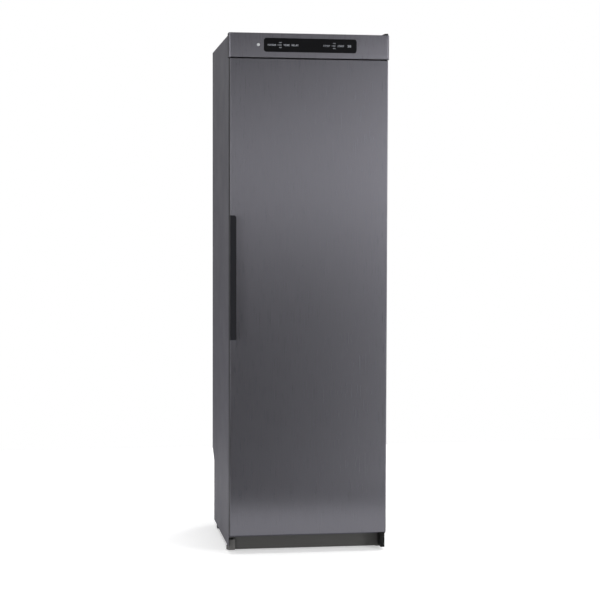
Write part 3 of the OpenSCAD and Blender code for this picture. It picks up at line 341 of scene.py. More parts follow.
class Finish:
    """A material under construction: its shader, its nodes and its Object coordinates."""

    def __init__(self, name, color, metallic, roughness):
        self.material = bpy.data.materials.new(name)
        self.material.use_nodes = True
        self.nodes = self.material.node_tree.nodes
        self.links = self.material.node_tree.links
        self.shader = self.nodes["Principled BSDF"]
        self.shader.inputs["Base Color"].default_value = (*color, 1.0)
        self.shader.inputs["Metallic"].default_value = metallic
        self.shader.inputs["Roughness"].default_value = roughness
        self.color = color
        self.place = self.nodes.new("ShaderNodeTexCoord").outputs["Object"]

    def scaled(self, scale):
        """Object coordinates times a scale for each axis."""
        node = self.nodes.new("ShaderNodeMapping")
        node.inputs["Scale"].default_value = scale
        self.links.new(self.place, node.inputs["Vector"])
        return node.outputs["Vector"]

    def noise(self, scale, detail=3.0, stretch=(1.0, 1.0, 1.0)):
        """Fractal noise, drawn out along an axis where stretch is small."""
        node = self.nodes.new("ShaderNodeTexNoise")
        node.inputs["Scale"].default_value = scale
        node.inputs["Detail"].default_value = detail
        self.links.new(self.scaled(stretch), node.inputs["Vector"])
        return node.outputs["Fac"]

    def spots(self, scale):
        """Random grey cells."""
        node = self.nodes.new("ShaderNodeTexVoronoi")
        node.inputs["Scale"].default_value = scale
        self.links.new(self.place, node.inputs["Vector"])
        grey = self.nodes.new("ShaderNodeSeparateColor")
        self.links.new(node.outputs["Color"], grey.inputs["Color"])
        return grey.outputs["Red"]

    def spread(self, value, low, high):
        """Maps a pattern's middle range onto low to high."""
        node = self.nodes.new("ShaderNodeMapRange")
        for socket, number in zip(
            ("From Min", "From Max", "To Min", "To Max"), (*MIDDLE_RANGE, low, high)
        ):
            node.inputs[socket].default_value = number
        self.links.new(value, node.inputs["Value"])
        return node.outputs["Result"]

    def shade(self, value, low, high):
        """Varies the base colour between two multiples of it."""
        node = self.nodes.new("ShaderNodeMix")
        node.data_type = "RGBA"
        for end, scale in (("A", low), ("B", high)):
            node.inputs[end].default_value = (*[min(1.0, c * scale) for c in self.color], 1.0)
        self.links.new(self.spread(value, 0.0, 1.0), node.inputs["Factor"])
        self.links.new(node.outputs["Result"], self.shader.inputs["Base Color"])

    def gloss(self, value, low, high):
        """Varies the roughness from low to high."""
        self.links.new(self.spread(value, low, high), self.shader.inputs["Roughness"])

    def stretch_gloss(self, along, amount):
        """Draws the gloss out across a grain that runs along an axis."""
        across = self.nodes.new("ShaderNodeVectorTransform")
        across.vector_type = "VECTOR"
        across.convert_from, across.convert_to = "OBJECT", "WORLD"
        across.inputs["Vector"].default_value = (0, 0, 1) if along == "X" else (1, 0, 0)
        self.links.new(across.outputs["Vector"], self.shader.inputs["Tangent"])
        self.shader.inputs["Anisotropic"].default_value = amount

    def arithmetic(self, operation, *values):
        """A Math node on outputs and numbers."""
        node = self.nodes.new("ShaderNodeMath")
        node.operation = operation
        for socket, value in zip(node.inputs, values):
            if isinstance(value, bpy.types.NodeSocket):
                self.links.new(value, socket)
            else:
                socket.default_value = value
        return node.outputs["Value"]

    def darken_sides_and_underside(self, half_width, color, roughness, low):
        """Turns the faces further out than a half width dark and matt, and those lower than a height dark as a
        painted shade.
        """
        axes = self.nodes.new("ShaderNodeSeparateXYZ")
        self.links.new(self.place, axes.inputs["Vector"])
        size = self.arithmetic("ABSOLUTE", axes.outputs["X"])
        beside = self.arithmetic("GREATER_THAN", size, half_width)
        # Painted shade: faces below the height are darkened like the sides.
        below = self.arithmetic("LESS_THAN", axes.outputs["Z"], low)
        darkened_part = self.arithmetic("MAXIMUM", beside, below)
        for socket, value in (
            ("Base Color", (*color, 1.0)), ("Metallic", 0.0), ("Roughness", roughness)
        ):
            target = self.shader.inputs[socket]
            node = self.nodes.new("ShaderNodeMix")
            node.data_type = "RGBA" if socket == "Base Color" else "FLOAT"
            before = next(i for i in node.inputs if i.name == "A" and i.enabled)
            after = next(i for i in node.inputs if i.name == "B" and i.enabled)
            result = next(o for o in node.outputs if o.enabled)
            after.default_value = value
            if target.is_linked:
                self.links.new(target.links[0].from_socket, before)
            else:
                before.default_value = target.default_value
            self.links.new(darkened_part, node.inputs["Factor"])
            self.links.new(result, target)

    def bump(self, value, strength, distance):
        """Adds fine relief."""
        node = self.nodes.new("ShaderNodeBump")
        node.inputs["Strength"].default_value = strength
        node.inputs["Distance"].default_value = distance
        self.links.new(value, node.inputs["Height"])
        self.links.new(node.outputs["Normal"], self.shader.inputs["Normal"])


def brushed(name, color, roughness, along, contrast=0.04, spread=0.0, edges=None):
    """Brushed steel: fine streaks along one axis, whose gloss spreads across them.

    Edges is a half width, a colour and a low height: the faces beyond the half width take the colour matt, and
    those below the height take it as a painted shade.
    """
    finish = Finish(name, color, 1.0, roughness)
    finish.stretch_gloss(along, spread)
    streak = tuple(0.012 if axis == along else 1.0 for axis in "XYZ")
    grain = finish.noise(900.0, detail=4.0, stretch=streak)
    finish.shade(grain, 1.0 - contrast, 1.0 + contrast)
    finish.gloss(grain, roughness - 0.02, roughness + 0.02)
    finish.bump(grain, strength=0.02, distance=0.2 * MM)
    if edges:
        finish.shader.inputs["Specular IOR Level"].default_value = DARK_EDGE_SHINE
        half_width, dark_color, low = edges
        finish.darken_sides_and_underside(half_width, dark_color, DARK_EDGE_ROUGHNESS, low)
    return finish.material


def painted(name, color, roughness, shine=0.45):
    """Stoved paint on sheet: orange peel, faint cloudiness and a slow change of gloss."""
    finish = Finish(name, color, 0.0, roughness)
    finish.shader.inputs["Specular IOR Level"].default_value = shine
    finish.shade(finish.noise(5.0), 0.97, 1.03)
    finish.gloss(finish.noise(9.0, detail=4.0), roughness - 0.03, roughness + 0.04)
    finish.bump(finish.noise(700.0, detail=2.0), strength=0.05, distance=0.4 * MM)
    return finish.material


def moulded(name, color, roughness, shine=0.5):
    """Moulded plastic with a spark-eroded grain."""
    finish = Finish(name, color, 0.0, roughness)
    finish.shader.inputs["Specular IOR Level"].default_value = shine
    finish.shade(finish.noise(30.0), 0.92, 1.08)
    finish.gloss(finish.noise(60.0), roughness - 0.04, roughness + 0.06)
    finish.bump(finish.noise(1400.0, detail=2.0), strength=0.15, distance=0.2 * MM)
    return finish.material


def anodised(name, color, roughness):
    """Black anodised extrusion: faint lines along its length."""
    finish = Finish(name, color, 0.0, roughness)
    finish.shader.inputs["Specular IOR Level"].default_value = 0.06
    lines = finish.noise(1600.0, detail=2.0, stretch=(1.0, 1.0, 0.01))
    finish.shade(lines, 0.9, 1.12)
    finish.gloss(finish.noise(40.0), roughness - 0.04, roughness + 0.05)
    finish.bump(lines, strength=0.05, distance=0.2 * MM)
    return finish.material


def black_glass(name, color):
    """Glass printed black from behind, with faint smears."""
    finish = Finish(name, color, 0.0, 0.06)
    finish.shader.inputs["IOR"].default_value = 1.45
    finish.shader.inputs["Specular IOR Level"].default_value = 0.18
    finish.gloss(finish.noise(22.0, detail=5.0, stretch=(1.0, 1.0, 2.2)), 0.05, 0.12)
    finish.shade(finish.noise(8.0, detail=2.0), 0.9, 1.1)
    return finish.material


def zinc_sheet(name, color):
    """Galvanised sheet: crystals that differ in tone and gloss."""
    finish = Finish(name, color, 1.0, 0.4)
    crystal = finish.spots(160.0)
    finish.shade(crystal, 0.82, 1.08)
    finish.gloss(crystal, 0.30, 0.46)
    finish.bump(finish.noise(240.0), strength=0.06, distance=0.3 * MM)
    return finish.material


def fibre_board(name, color):
    """Pressed fibre board with short strands."""
    finish = Finish(name, color, 0.0, 0.92)
    strand = finish.noise(420.0, detail=6.0, stretch=(1.0, 0.3, 0.3))
    finish.shade(strand, 0.78, 1.1)
    finish.bump(strand, strength=0.5, distance=1.0 * MM)
    return finish.material


def soft_rubber(name, color):
    """Seal rubber: matt, with a dusty bloom."""
    finish = Finish(name, color, 0.0, 0.72)
    bloom = finish.noise(70.0, detail=4.0)
    finish.shade(bloom, 0.85, 1.3)
    finish.gloss(bloom, 0.64, 0.8)
    finish.bump(finish.noise(1800.0, detail=2.0), strength=0.12, distance=0.2 * MM)
    return finish.material


def circuit_green(name, color):
    """Lacquered circuit board with faint tracks."""
    finish = Finish(name, color, 0.0, 0.35)
    finish.shader.inputs["Coat Weight"].default_value = 0.4
    track = finish.noise(260.0, detail=1.0, stretch=(1.0, 1.0, 0.25))
    finish.shade(track, 0.7, 1.35)
    finish.bump(track, strength=0.1, distance=0.2 * MM)
    return finish.material


def heat_tinted(name, color):
    """Steel tube darkened unevenly by heat."""
    finish = Finish(name, color, 1.0, 0.42)
    tint = finish.noise(28.0)
    finish.shade(tint, 0.6, 1.4)
    finish.gloss(tint, 0.34, 0.5)
    return finish.material


def unglazed(name, color):
    """Unglazed ceramic, slightly uneven in tone, with a fine rough surface."""
    finish = Finish(name, color, 0.0, 0.6)
    finish.shade(finish.noise(90.0, detail=4.0), 0.9, 1.06)
    finish.bump(finish.noise(900.0), strength=0.15, distance=0.3 * MM)
    return finish.material


def lit_mark(name, color, strength):
    """A mark that glows faintly through the glass."""
    finish = Finish(name, color, 0.0, 0.5)
    finish.shader.inputs["Emission Color"].default_value = (*color, 1.0)
    finish.shader.inputs["Emission Strength"].default_value = strength
    finish.gloss(finish.noise(50.0, detail=2.0), 0.45, 0.55)
    return finish.material


MATERIALS = {}


def make_materials(settings):
    """Makes one material for each slot of the record."""
    side, plinth = tuple(settings.side_color), tuple(settings.plinth_color)
    MATERIALS.update(
        side_wall=painted("side_wall", side, 0.6, shine=0.1),
        shell=painted("shell", side, 0.6, shine=0.1),
        front_steel=brushed(
            "front_steel", tuple(settings.front_color), settings.front_roughness, "Z",
            spread=settings.front_spread,
            edges=(DOOR_DARK_FROM, (0.045, 0.044, 0.048), FLOOR_Z),
        ),
        # The door's steel made brighter for the fascia as painted light, with a painted shade on its underside.
        fascia_steel=brushed(
            "fascia_steel", tuple(FASCIA_PAINTED_LIGHT * c for c in settings.front_color),
            settings.front_roughness, "Z", spread=settings.front_spread,
            edges=(
                FASCIA_DARK_FROM, (0.075, 0.074, 0.081),
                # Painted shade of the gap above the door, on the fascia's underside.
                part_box("fascia")[0][2] + UNDERSIDE_SHADE_HEIGHT,
            ),
        ),
        lining=brushed("lining", tuple(settings.lining_color), 0.32, "Z"),
        frame_paint=painted("frame_paint", (0.06, 0.06, 0.065), 0.5),
        plinth_paint=painted("plinth_paint", plinth, 0.55),
        galvanised=zinc_sheet("galvanised", (0.55, 0.57, 0.58)),
        bright_steel=brushed("bright_steel", (0.72, 0.73, 0.74), 0.22, "X", 0.03),
        hinge_steel=painted("hinge_steel", (0.006, 0.006, 0.006), 0.4, shine=0.12),
        black_plastic=moulded("black_plastic", (0.012, 0.012, 0.013), 0.5, shine=0.12),
        block_plastic=moulded("block_plastic", (0.105, 0.103, 0.099), 0.5, shine=0.25),
        handle_black=anodised("handle_black", tuple(settings.handle_color), 0.6),
        display_glass=black_glass("display_glass", (0.006, 0.006, 0.007)),
        button_metal=brushed("button_metal", (0.80, 0.81, 0.83), 0.40, "X", 0.03),
        circuit_board=circuit_green("circuit_board", (0.02, 0.11, 0.05)),
        board=fibre_board("board", (0.60, 0.57, 0.45)),
        gasket=soft_rubber("gasket", (0.022, 0.022, 0.024)),
        motor_metal=zinc_sheet("motor_metal", (0.45, 0.46, 0.48)),
        heater_metal=heat_tinted("heater_metal", (0.34, 0.24, 0.18)),
        thermostat=unglazed("thermostat", (0.78, 0.74, 0.62)),
        roller_black=moulded("roller_black", (0.008, 0.008, 0.009), 0.55, shine=0.1),
        legend=lit_mark("legend", tuple(settings.legend_color), 0.45),
    )


# ---------------------------------------------------------------- operators


class CABINET_OT_finishes(Operator):
    """Give every node of the frame the finish of its slot"""

    bl_idname = "cabinet.finishes"
    bl_label = "Finishes"

    def execute(self, context):
        make_materials(context.scene.cabinet_finish)
        slots = {s["node"]: s["material_slot"] for s in frame["record"]["subparts"]}
        # The fascia has the door's slot; its copy of the steel is made brighter as painted light.
        slots["fascia"] = "fascia_steel"
        for name, node in frame["nodes"].items():
            node.data.materials.clear()
            node.data.materials.append(MATERIALS[slots[name]])
        return {"FINISHED"}


# Letters and figures of the display as five rows of three cells, from the top row down.
GLYPHS = {
    "A": "010 101 111 101 101", "D": "110 101 101 101 110", "E": "111 100 110 100 111",
    "G": "011 100 101 101 011", "I": "111 010 010 010 111", "L": "100 100 100 100 111",
    "M": "101 111 111 101 101", "O": "010 101 101 101 010", "P": "110 101 110 100 100",
    "R": "110 101 110 101 101", "S": "011 100 010 001 110", "T": "111 010 010 010 010",
    "Y": "101 101 010 010 010", "0": "111 101 101 101 111", "1": "010 110 010 010 111",
    "2": "111 001 111 100 111", "3": "111 001 011 001 111", "4": "101 101 111 001 001",
    "5": "111 100 111 001 111",
}
GLYPH_ROWS, GLYPH_COLUMNS = 5, 3
# The part of a row's height that a lit cell fills.
LIT_PART = 0.8
# The display's marks, in millimetres, with x from the glass's middle. A word: its text, left end,
# width and height. A selector: its left end and its numbers.
DISPLAY_WORDS = (
    ("PROGRAM", -155, 30, 6.0), ("TIME", -97, 22, 6.5), ("DELAY", -67, 25, 6.5),
    ("STOP", 50, 25, 5.5), ("START", 103, 24, 6.5), ("30", 140, 13, 7.5),
)
SELECTORS = ((-118, ("10", "20", "30")), (82, ("40", "50", "55")))
NUMBER_WIDTH, NUMBER_HEIGHT, NUMBER_PITCH, NUMBER_INSET = 9.0, 3.2, 9.0, 4.0
BAR_WIDTH, BAR_HEIGHT = 1.2, 4.0


def glyph_strokes(text, x, z, width, height):
    """Strokes of a line of text as (low x, low z, high x, high z), between x and x + width.

    An empty column stands between two letters.
    """
    step = GLYPH_COLUMNS + 1
    cell = width / (step * len(text) - 1)
    rise = height / GLYPH_ROWS
    strokes = []
    for place, letter in enumerate(text):
        for row, cells in enumerate(GLYPHS[letter].split()):
            for column, lit in enumerate(cells):
                if lit == "1":
                    x0 = x + (step * place + column) * cell
                    z0 = z + (GLYPH_ROWS - 1 - row) * rise
                    strokes.append((x0, z0, x0 + cell, z0 + rise * LIT_PART))
    return strokes


def selector_strokes(x, z, numbers):
    """Strokes of three numbers one above the other, with a thin bar beside the middle one."""
    strokes = []
    for row, text in enumerate(numbers):
        low = z + (1 - row) * NUMBER_PITCH - NUMBER_HEIGHT / 2
        strokes += glyph_strokes(text, x + NUMBER_INSET, low, NUMBER_WIDTH, NUMBER_HEIGHT)
    strokes.append((x, z - BAR_HEIGHT / 2, x + BAR_WIDTH, z + BAR_HEIGHT / 2))
    return strokes


class CABINET_OT_legends(Operator):
    """Lay generic words and numbers on the display glass"""

    bl_idname = "cabinet.legends"
    bl_label = "Display legends"

    def execute(self, context):
        depth = context.scene.cabinet_detail.legend_depth
        low, high = corners(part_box("display_glass"))
        front, middle = low[1], (low[2] + high[2]) / 2 / MM
        strokes = []
        for x, numbers in SELECTORS:
            strokes += selector_strokes(x, middle, numbers)
        for text, x, width, height in DISPLAY_WORDS:
            strokes += glyph_strokes(text, x, middle - height / 2, width, height)
        boxes = [
            (x0 * MM, front - depth, z0 * MM, x1 * MM, front, z1 * MM)
            for x0, z0, x1, z1 in strokes
        ]
        piece = mesh_piece("display_legends", *plates(boxes), smooth=False)
        settle(piece, "cabinet", MATERIALS["legend"])
        return {"FINISHED"}


class CABINET_OT_button_dome(Operator):
    """Put a shallow dome with a ring groove on the power button"""

    bl_idname = "cabinet.button_dome"
    bl_label = "Power button dome"

    def execute(self, context):
        low, high = corners(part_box("power_button"))
        radius, rise, segments = (high[0] - low[0]) / 2, 0.5 * MM, 48
        middle = (low + high) / 2
        place = (middle[0], low[1], middle[2])
        # Parts of the radius and of the rise, from the crown over the groove to the rim.
        profile = [
            (0, 1.0), (0.35, 0.97), (0.62, 0.8), (0.66, 0.45), (0.74, 0.45), (0.78, 0.65),
            (0.96, 0.2), (1.0, 0), (0, 0),
        ]
        shape = revolve(np.multiply(profile, (radius, rise)), segments)
        piece = mesh_piece("button_dome", *copies(*shape, [facing(place, FORWARD)]))
        settle(piece, "power_button", MATERIALS["button_metal"])
        return {"FINISHED"}


class CABINET_OT_gasket(Operator):
    """Run a bellows gasket with a magnet chamber round the door's liner"""

    bl_idname = "cabinet.gasket"
    bl_label = "Door gasket"

    def execute(self, context):
        low, high = corners(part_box("door_gasket"))
        half, middle = (high - low) / 2, (low + high) / 2
        width, depth, cells = 12.0 * MM, high[1] - low[1], 24
        # Parts of the width and of the depth: a rounded lobe over two folds and a base.
        turn = np.linspace(0, np.pi, 7)
        lobe = np.stack([0.5 - 0.5 * np.cos(turn), 1.0 - 0.18 * (1 - np.sin(turn))], axis=-1)
        folds = [
            (1.0, 0.55), (0.86, 0.42), (0.86, 0.25), (1.0, 0.12), (1.0, 0.0),
            (0.0, 0.0), (0.0, 0.12), (0.14, 0.25), (0.14, 0.42), (0.0, 0.55),
        ]
        profile = np.concatenate([lobe, folds]) * [width, depth]
        points, faces = frame_sweep(half[0], half[2], profile, cells)
        centre = [middle[0], low[1], middle[2]]
        piece = mesh_piece("gasket_bellows", points + centre, faces, angle=50.0)
        settle(piece, "door", MATERIALS["gasket"])
        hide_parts("door_gasket")
        return {"FINISHED"}


def screw_shape(radius, height):
    """A pan head: edge, crown and a round driver recess, as parts of its radius and height."""
    profile = [
        (0, 0), (1.0, 0), (1.0, 0.35), (0.86, 0.8), (0.5, 1.0), (0.34, 0.98), (0.26, 0.45),
        (0, 0.45),
    ]
    return revolve(np.multiply(profile, (radius, height)), 12)


class CABINET_OT_screws(Operator):
    """Set the screw heads on back, top, hinges, liner and brackets"""

    bl_idname = "cabinet.screws"
    bl_label = "Screws"

    def execute(self, context):
        detail = context.scene.cabinet_detail
        shape = screw_shape(detail.screw_radius, detail.screw_height)
        small_radius, small_height = 0.75 * detail.screw_radius, 0.8 * detail.screw_height
        small = screw_shape(small_radius, small_height)
        self.put("back_screws", shape, "cabinet", self.back_places())
        self.put("top_screws", shape, "cabinet", self.top_places())
        self.put("hinge_screws", shape, "cabinet", self.hinge_places(), "hinge_steel")
        self.put("liner_screws", small, "door", self.liner_places())
        self.put("bracket_screws", small, "cabinet", self.bracket_places())
        self.put("glove_rack_screws", small, "door", self.glove_places())
        return {"FINISHED"}

    def put(self, name, shape, body, places, slot="bright_steel"):
        """Makes one piece of a screw at each place, which is a point and the way it faces."""
        piece = mesh_piece(name, *copies(*shape, [facing(p, d) for p, d in places]))
        settle(piece, body, MATERIALS[slot])

    def back_places(self):
        """Down both sides and along the top of the back panel, and in the niche below it."""
        low, high = corners(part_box("back_panel"))
        niche_low, niche_high = corners(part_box("niche_panel"))
        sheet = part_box("top_panel")[1][2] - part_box("top_panel")[0][2]
        face, niche_face = niche_high[1], niche_low[1] + sheet
        edge, lowest, highest = 12 * MM, 360 * MM, high[2] - 50 * MM
        ends = (low[0] + edge, high[0] - edge)
        sides = on_face(ends, face, np.linspace(lowest, highest, 7), REARWARD)
        top = on_face(np.linspace(-200, 200, 4) * MM, face, [high[2] - edge], REARWARD)
        niche = on_face(ends, niche_face, (60 * MM, 220 * MM), REARWARD)
        return sides + top + niche

    def top_places(self):
        """Along both sides of the top panel."""
        low, high = corners(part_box("top_panel"))
        edge, end = 12 * MM, 30 * MM
        return [
            ((x, y, high[2]), UPWARD)
            for x in (low[0] + edge, high[0] - edge)
            for y in np.linspace(low[1] + end, high[1] - end, 4)
        ]

    def hinge_places(self):
        """Two in the lower hinge's leg and two in the upper hinge's upright plate."""
        low, high = corners(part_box("lower_hinge"))
        half_leg, leg_setback, heights = 7.5 * MM, 13 * MM, (20 * MM, 52 * MM)
        lower = on_face([high[0] - half_leg], low[1] + leg_setback, heights, FORWARD)
        low, high = corners(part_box("upper_hinge"))
        middle, plate = (low[0] + high[0]) / 2, 3 * MM
        heights = (high[2] - 12 * MM, high[2] - 34 * MM)
        return lower + on_face([middle], high[1] - plate, heights, FORWARD)

    def liner_places(self):
        """Round the edge of the door's liner, on the door's rear face."""
        low, high = corners(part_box("door_liner"))
        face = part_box("door_skin")[1][1]
        edge, end, reach = 8 * MM, 20 * MM, 130 * MM
        heights = np.linspace(low[2] + end, high[2] - end, 8)
        sides = on_face((low[0] + edge, high[0] - edge), face, heights, REARWARD)
        ends = on_face((-reach, reach), face, (low[2] + edge, high[2] - edge), REARWARD)
        return sides + ends

    def bracket_places(self):
        """Two in each rack bracket's inner face, in front of the rack's pivot."""
        folds = [j for j in frame["joints"] if j["type"] == "hinge" and j["axis"] == [-1, 0, 0]]
        pivot = next(j for j in folds if j["name"] == "rack_middle_fold")["pos_m"][1]
        sheet, ahead, apart = 4 * MM, 24 * MM, 9 * MM
        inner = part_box("rack_brackets")[1][0] - sheet
        return [
            ((side * inner, pivot - ahead, fold["pos_m"][2] + dz), (-side, 0, 0))
            for side in (-1, 1) for fold in folds for dz in (-apart, apart)
        ]

    def glove_places(self):
        """In the four ends of the glove rack's uprights."""
        low, high = corners(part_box("glove_rack_bars"))
        sheet, half_width, end = 3 * MM, 7 * MM, 4.5 * MM
        x = high[0] - half_width
        return on_face((-x, x), low[1] + sheet, (low[2] + end, high[2] - end), REARWARD)


# The glove pegs, as in the part's source: rows, pegs in a row, and sizes in millimetres.
PEG_ROWS, PEGS_ACROSS = 4, 6
PEG_ROW_LOW, PEG_ROW_RISE = 560, 240
PEG_REACH, PEG_LENGTH = 176, 52
PEG_TILT = math.radians(8.0)
# A cap sits this far below its peg's axis, and this far in front of the peg's rearmost point.
CAP_DROP, CAP_SETBACK = 0.2, 4.5


class CABINET_OT_peg_caps(Operator):
    """Cap the glove pegs with round rubber tips"""

    bl_idname = "cabinet.peg_caps"
    bl_label = "Peg caps"

    def execute(self, context):
        radius, sleeve_end, shoulder = 5.0 * MM, -9 * MM, 3 * MM
        # A sleeve over the peg's end, closed by a low dome.
        sleeve = [(0, sleeve_end), (0.92 * radius, sleeve_end), (radius, sleeve_end + 1 * MM)]
        turn = np.linspace(0, np.pi / 2, 6)
        dome = np.stack([radius * np.cos(turn), shoulder + 0.6 * radius * np.sin(turn)], axis=-1)
        shape = revolve(np.concatenate([sleeve, dome]), 20)
        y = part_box("glove_rack_pegs")[1][1] - CAP_SETBACK * MM
        rise = PEG_LENGTH * math.sin(PEG_TILT) - CAP_DROP
        rows = PEG_ROW_LOW + PEG_ROW_RISE * np.arange(PEG_ROWS) + rise
        columns = np.linspace(-PEG_REACH, PEG_REACH, PEGS_ACROSS)
        along = (0, math.cos(PEG_TILT), math.sin(PEG_TILT))
        matrices = [facing((x * MM, y, z * MM), along) for z in rows for x in columns]
        piece = mesh_piece("peg_caps", *copies(*shape, matrices))
        settle(piece, "door", MATERIALS["gasket"])
        return {"FINISHED"}


class CABINET_OT_spigot_rim(Operator):
    """Roll the spigot's upper edge inwards"""

    bl_idname = "cabinet.spigot_rim"
    bl_label = "Spigot rim"

    def execute(self, context):
        low, high = corners(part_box("exhaust_spigot"))
        middle = (low + high) / 2
        bend, roll, segments = 60.5 * MM, 1.4 * MM, 96
        turn = np.linspace(0, 2 * np.pi, 12, endpoint=False)
        ring = np.stack([bend + roll * np.cos(turn), roll * (np.sin(turn) - 1)], axis=-1)
        points, faces = revolve(ring, segments, closed=True)
        centre = [middle[0], middle[1], high[2]]
        piece = mesh_piece("spigot_rim", points + centre, faces)
        settle(piece, "cabinet", MATERIALS["galvanised"])
        return {"FINISHED"}


# Profiles of a roller's hub cap and tread cover, as parts of its radius and in millimetres.
HUB_PROFILE = ((0.30, 0), (0.62, 0), (0.62, 0.20), (0.55, 0.36), (0.42, 0.40), (0.30, 0.32))
COVER_PROFILE = ((0, 0), (0.97, 0), (0.97, 1.0), (0.93, 1.5), (0.7, 1.7), (0, 1.7))


class CABINET_OT_roller_hubs(Operator):
    """Put a domed hub cap on each roller's inner side and a tread cover on its outer side"""

    bl_idname = "cabinet.roller_hubs"
    bl_label = "Roller hubs"

    def execute(self, context):
        for name, side in (("roller_left", -1), ("roller_right", 1)):
            low, high = corners(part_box(name))
            middle, radius = (low + high) / 2, (high[2] - low[2]) / 2
            inner, outer = (high[0], low[0]) if side < 0 else (low[0], high[0])
            hub = revolve(np.multiply(HUB_PROFILE, (radius, MM)), 32, closed=True)
            cover = revolve(np.multiply(COVER_PROFILE, (radius, MM)), 40)
            for part, shape, x, way in (
                ("hub", hub, inner, -side), ("cover", cover, outer, side)
            ):
                turn = facing((x, middle[1], middle[2]), (way, 0, 0))
                piece = mesh_piece(f"{name}_{part}", *copies(*shape, [turn]))
                settle(piece, name, MATERIALS["roller_black"])
        return {"FINISHED"}


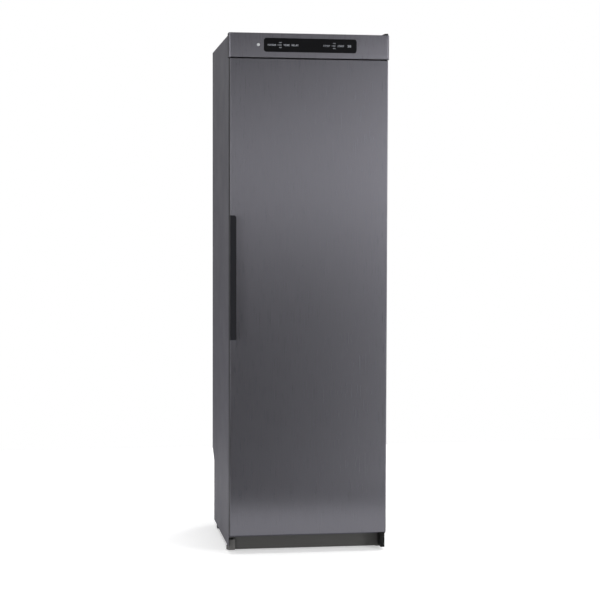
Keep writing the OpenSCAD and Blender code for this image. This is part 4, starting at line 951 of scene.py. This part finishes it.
class CABINET_OT_stage(Operator):
    """Lay the pale floor and set the lights and the camera"""

    bl_idname = "cabinet.stage"
    bl_label = "Stage"

    def execute(self, context):
        stage = context.scene.cabinet_stage
        context.scene.view_settings.view_transform = "Standard"
        self.camera(context, stage)
        self.surroundings(context, stage)
        if stage.use_floor:
            self.floor(stage)
        self.lights(context)
        return {"FINISHED"}

    def camera(self, context, stage):
        """Turned by yaw about Z, then by pitch, then by roll about its own line of sight."""
        yaw, pitch, roll = stage.camera_turn
        ahead = Vector((
            -math.sin(yaw) * math.cos(pitch), math.cos(yaw) * math.cos(pitch), math.sin(pitch)
        ))
        right = Vector((math.cos(yaw), math.sin(yaw), 0.0))
        up = right.cross(ahead)
        turned_right = math.cos(roll) * right + math.sin(roll) * up
        turned_up = math.cos(roll) * up - math.sin(roll) * right
        data = bpy.data.cameras.new("camera")
        data.lens = stage.camera_lens
        data.sensor_width = SENSOR_WIDTH
        data.clip_end = FAR_CLIP
        camera = bpy.data.objects.new("camera", data)
        context.scene.collection.objects.link(camera)
        camera.matrix_world = Matrix.Translation(Vector(stage.camera_place)) @ Matrix(
            (turned_right, turned_up, -ahead)
        ).transposed().to_4x4()
        context.scene.camera = camera

    def surroundings(self, context, stage):
        """Studio walls as a world.

        They are white to the eye, and graded by height and side for light and gloss.
        """
        world = bpy.data.worlds.new("surroundings")
        world.use_nodes = True
        nodes, links = world.node_tree.nodes, world.node_tree.links
        axes = nodes.new("ShaderNodeSeparateXYZ")
        direction = nodes.new("ShaderNodeTexCoord").outputs["Generated"]
        links.new(direction, axes.inputs["Vector"])
        front = self.ramp(world, axes.outputs["Z"], FRONT_RAMP)
        behind = self.ramp(world, axes.outputs["Z"], BEHIND_RAMP)
        blend = nodes.new("ShaderNodeMapRange")
        blend.inputs["From Min"].default_value = -WALL_BLEND
        blend.inputs["From Max"].default_value = WALL_BLEND
        links.new(axes.outputs["Y"], blend.inputs["Value"])
        studio = nodes.new("ShaderNodeMix")
        links.new(blend.outputs["Result"], studio.inputs["Factor"])
        links.new(front, studio.inputs["A"])
        links.new(behind, studio.inputs["B"])
        seen = nodes.new("ShaderNodeMix")
        to_camera = nodes.new("ShaderNodeLightPath").outputs["Is Camera Ray"]
        links.new(to_camera, seen.inputs["Factor"])
        links.new(studio.outputs["Result"], seen.inputs["A"])
        seen.inputs["B"].default_value = 1.0
        background = nodes["Background"]
        links.new(seen.outputs["Result"], background.inputs["Color"])
        background.inputs["Strength"].default_value = stage.world_strength
        context.scene.world = world

    def ramp(self, world, value, stops):
        """Maps a direction's part to the levels in stops, in straight steps between them.

        A colour ramp holds levels up to 1, so they are divided by the highest and scaled back.
        """
        nodes, links = world.node_tree.nodes, world.node_tree.links
        low, high = stops[0][0], stops[-1][0]
        top = max(level for _, level in stops)
        span = nodes.new("ShaderNodeMapRange")
        span.inputs["From Min"].default_value = low
        span.inputs["From Max"].default_value = high
        links.new(value, span.inputs["Value"])
        node = nodes.new("ShaderNodeValToRGB")
        elements = node.color_ramp.elements
        for place, _ in stops[1:-1]:
            elements.new((place - low) / (high - low))
        for element, (place, level) in zip(elements, stops):
            element.position = (place - low) / (high - low)
            element.color = (level / top, level / top, level / top, 1.0)
        links.new(span.outputs["Result"], node.inputs["Fac"])
        scaled = nodes.new("ShaderNodeMath")
        scaled.operation = "MULTIPLY"
        scaled.inputs[1].default_value = top
        links.new(node.outputs["Color"], scaled.inputs[0])
        return scaled.outputs["Value"]

    def floor(self, stage):
        """A flat grid at the floor's height, from in front of the cabinet to well behind it."""
        half, parts = stage.floor_half, stage.floor_parts
        x, y = np.meshgrid(
            np.linspace(-half, half, parts + 1),
            np.linspace(-stage.floor_front, half, parts + 1),
            indexing="ij",
        )
        points = np.stack([x, y, np.full_like(x, FLOOR_Z)], axis=-1).reshape(-1, 3)
        piece = mesh_piece("floor", points, grid_faces(parts + 1, parts + 1), smooth=False)
        finish = Finish("floor", FLOOR_WHITE, 0.0, 0.9)
        finish.shade(finish.noise(0.6, detail=2.0), 0.995, 1.005)
        finish.shader.inputs["Emission Color"].default_value = (1.0, 1.0, 1.0, 1.0)
        finish.shader.inputs["Emission Strength"].default_value = stage.floor_glow
        piece.data.materials.append(finish.material)

    def lights(self, context):
        """The soft boxes, each turned towards its target."""
        for name, place, target, width, height, power in SOFT_BOXES:
            data = bpy.data.lights.new(name, "AREA")
            data.shape = "RECTANGLE"
            data.size, data.size_y = width, height
            data.energy = power
            light = bpy.data.objects.new(name, data)
            context.scene.collection.objects.link(light)
            light.location = place
            aim = Vector(target) - Vector(place)
            light.rotation_euler = aim.to_track_quat("-Z", "Y").to_euler()


OPERATORS = (
    CABINET_OT_finishes,
    CABINET_OT_legends,
    CABINET_OT_button_dome,
    CABINET_OT_gasket,
    CABINET_OT_screws,
    CABINET_OT_peg_caps,
    CABINET_OT_spigot_rim,
    CABINET_OT_roller_hubs,
    CABINET_OT_stage,
)
GROUPS = (
    ("cabinet_finish", CabinetFinishSettings),
    ("cabinet_detail", CabinetDetailSettings),
    ("cabinet_stage", CabinetStageSettings),
)


class CABINET_PT_panel(Panel):
    """Lists the cabinet's settings and steps in the 3D view's sidebar"""

    bl_idname = "CABINET_PT_panel"
    bl_label = "Drying Cabinet"
    bl_space_type = "VIEW_3D"
    bl_region_type = "UI"
    bl_category = "Cabinet"

    def draw(self, context):
        """A button for each operator, and a box for each group of settings."""
        column = self.layout.column()
        for operator in OPERATORS:
            column.operator(operator.bl_idname)
        for attribute, group in GROUPS:
            box = self.layout.box()
            for name in group.__annotations__:
                box.prop(getattr(context.scene, attribute), name)


def register():
    """Adds the settings to the scene, then the operators and the panel."""
    for name, group in GROUPS:
        bpy.utils.register_class(group)
        setattr(bpy.types.Scene, name, PointerProperty(type=group))
    for cls in (*OPERATORS, CABINET_PT_panel):
        bpy.utils.register_class(cls)


def unregister():
    """Takes everything out again, in the opposite order."""
    for cls in reversed((*OPERATORS, CABINET_PT_panel)):
        bpy.utils.unregister_class(cls)
    for name, group in reversed(GROUPS):
        delattr(bpy.types.Scene, name)
        bpy.utils.unregister_class(group)


def main():
    register()
    bpy.ops.cabinet.finishes()
    bpy.ops.cabinet.legends()
    bpy.ops.cabinet.button_dome()
    bpy.ops.cabinet.gasket()
    bpy.ops.cabinet.screws()
    bpy.ops.cabinet.peg_caps()
    bpy.ops.cabinet.spigot_rim()
    bpy.ops.cabinet.roller_hubs()
    bpy.ops.cabinet.stage()


if __name__ == "__main__":
    main()
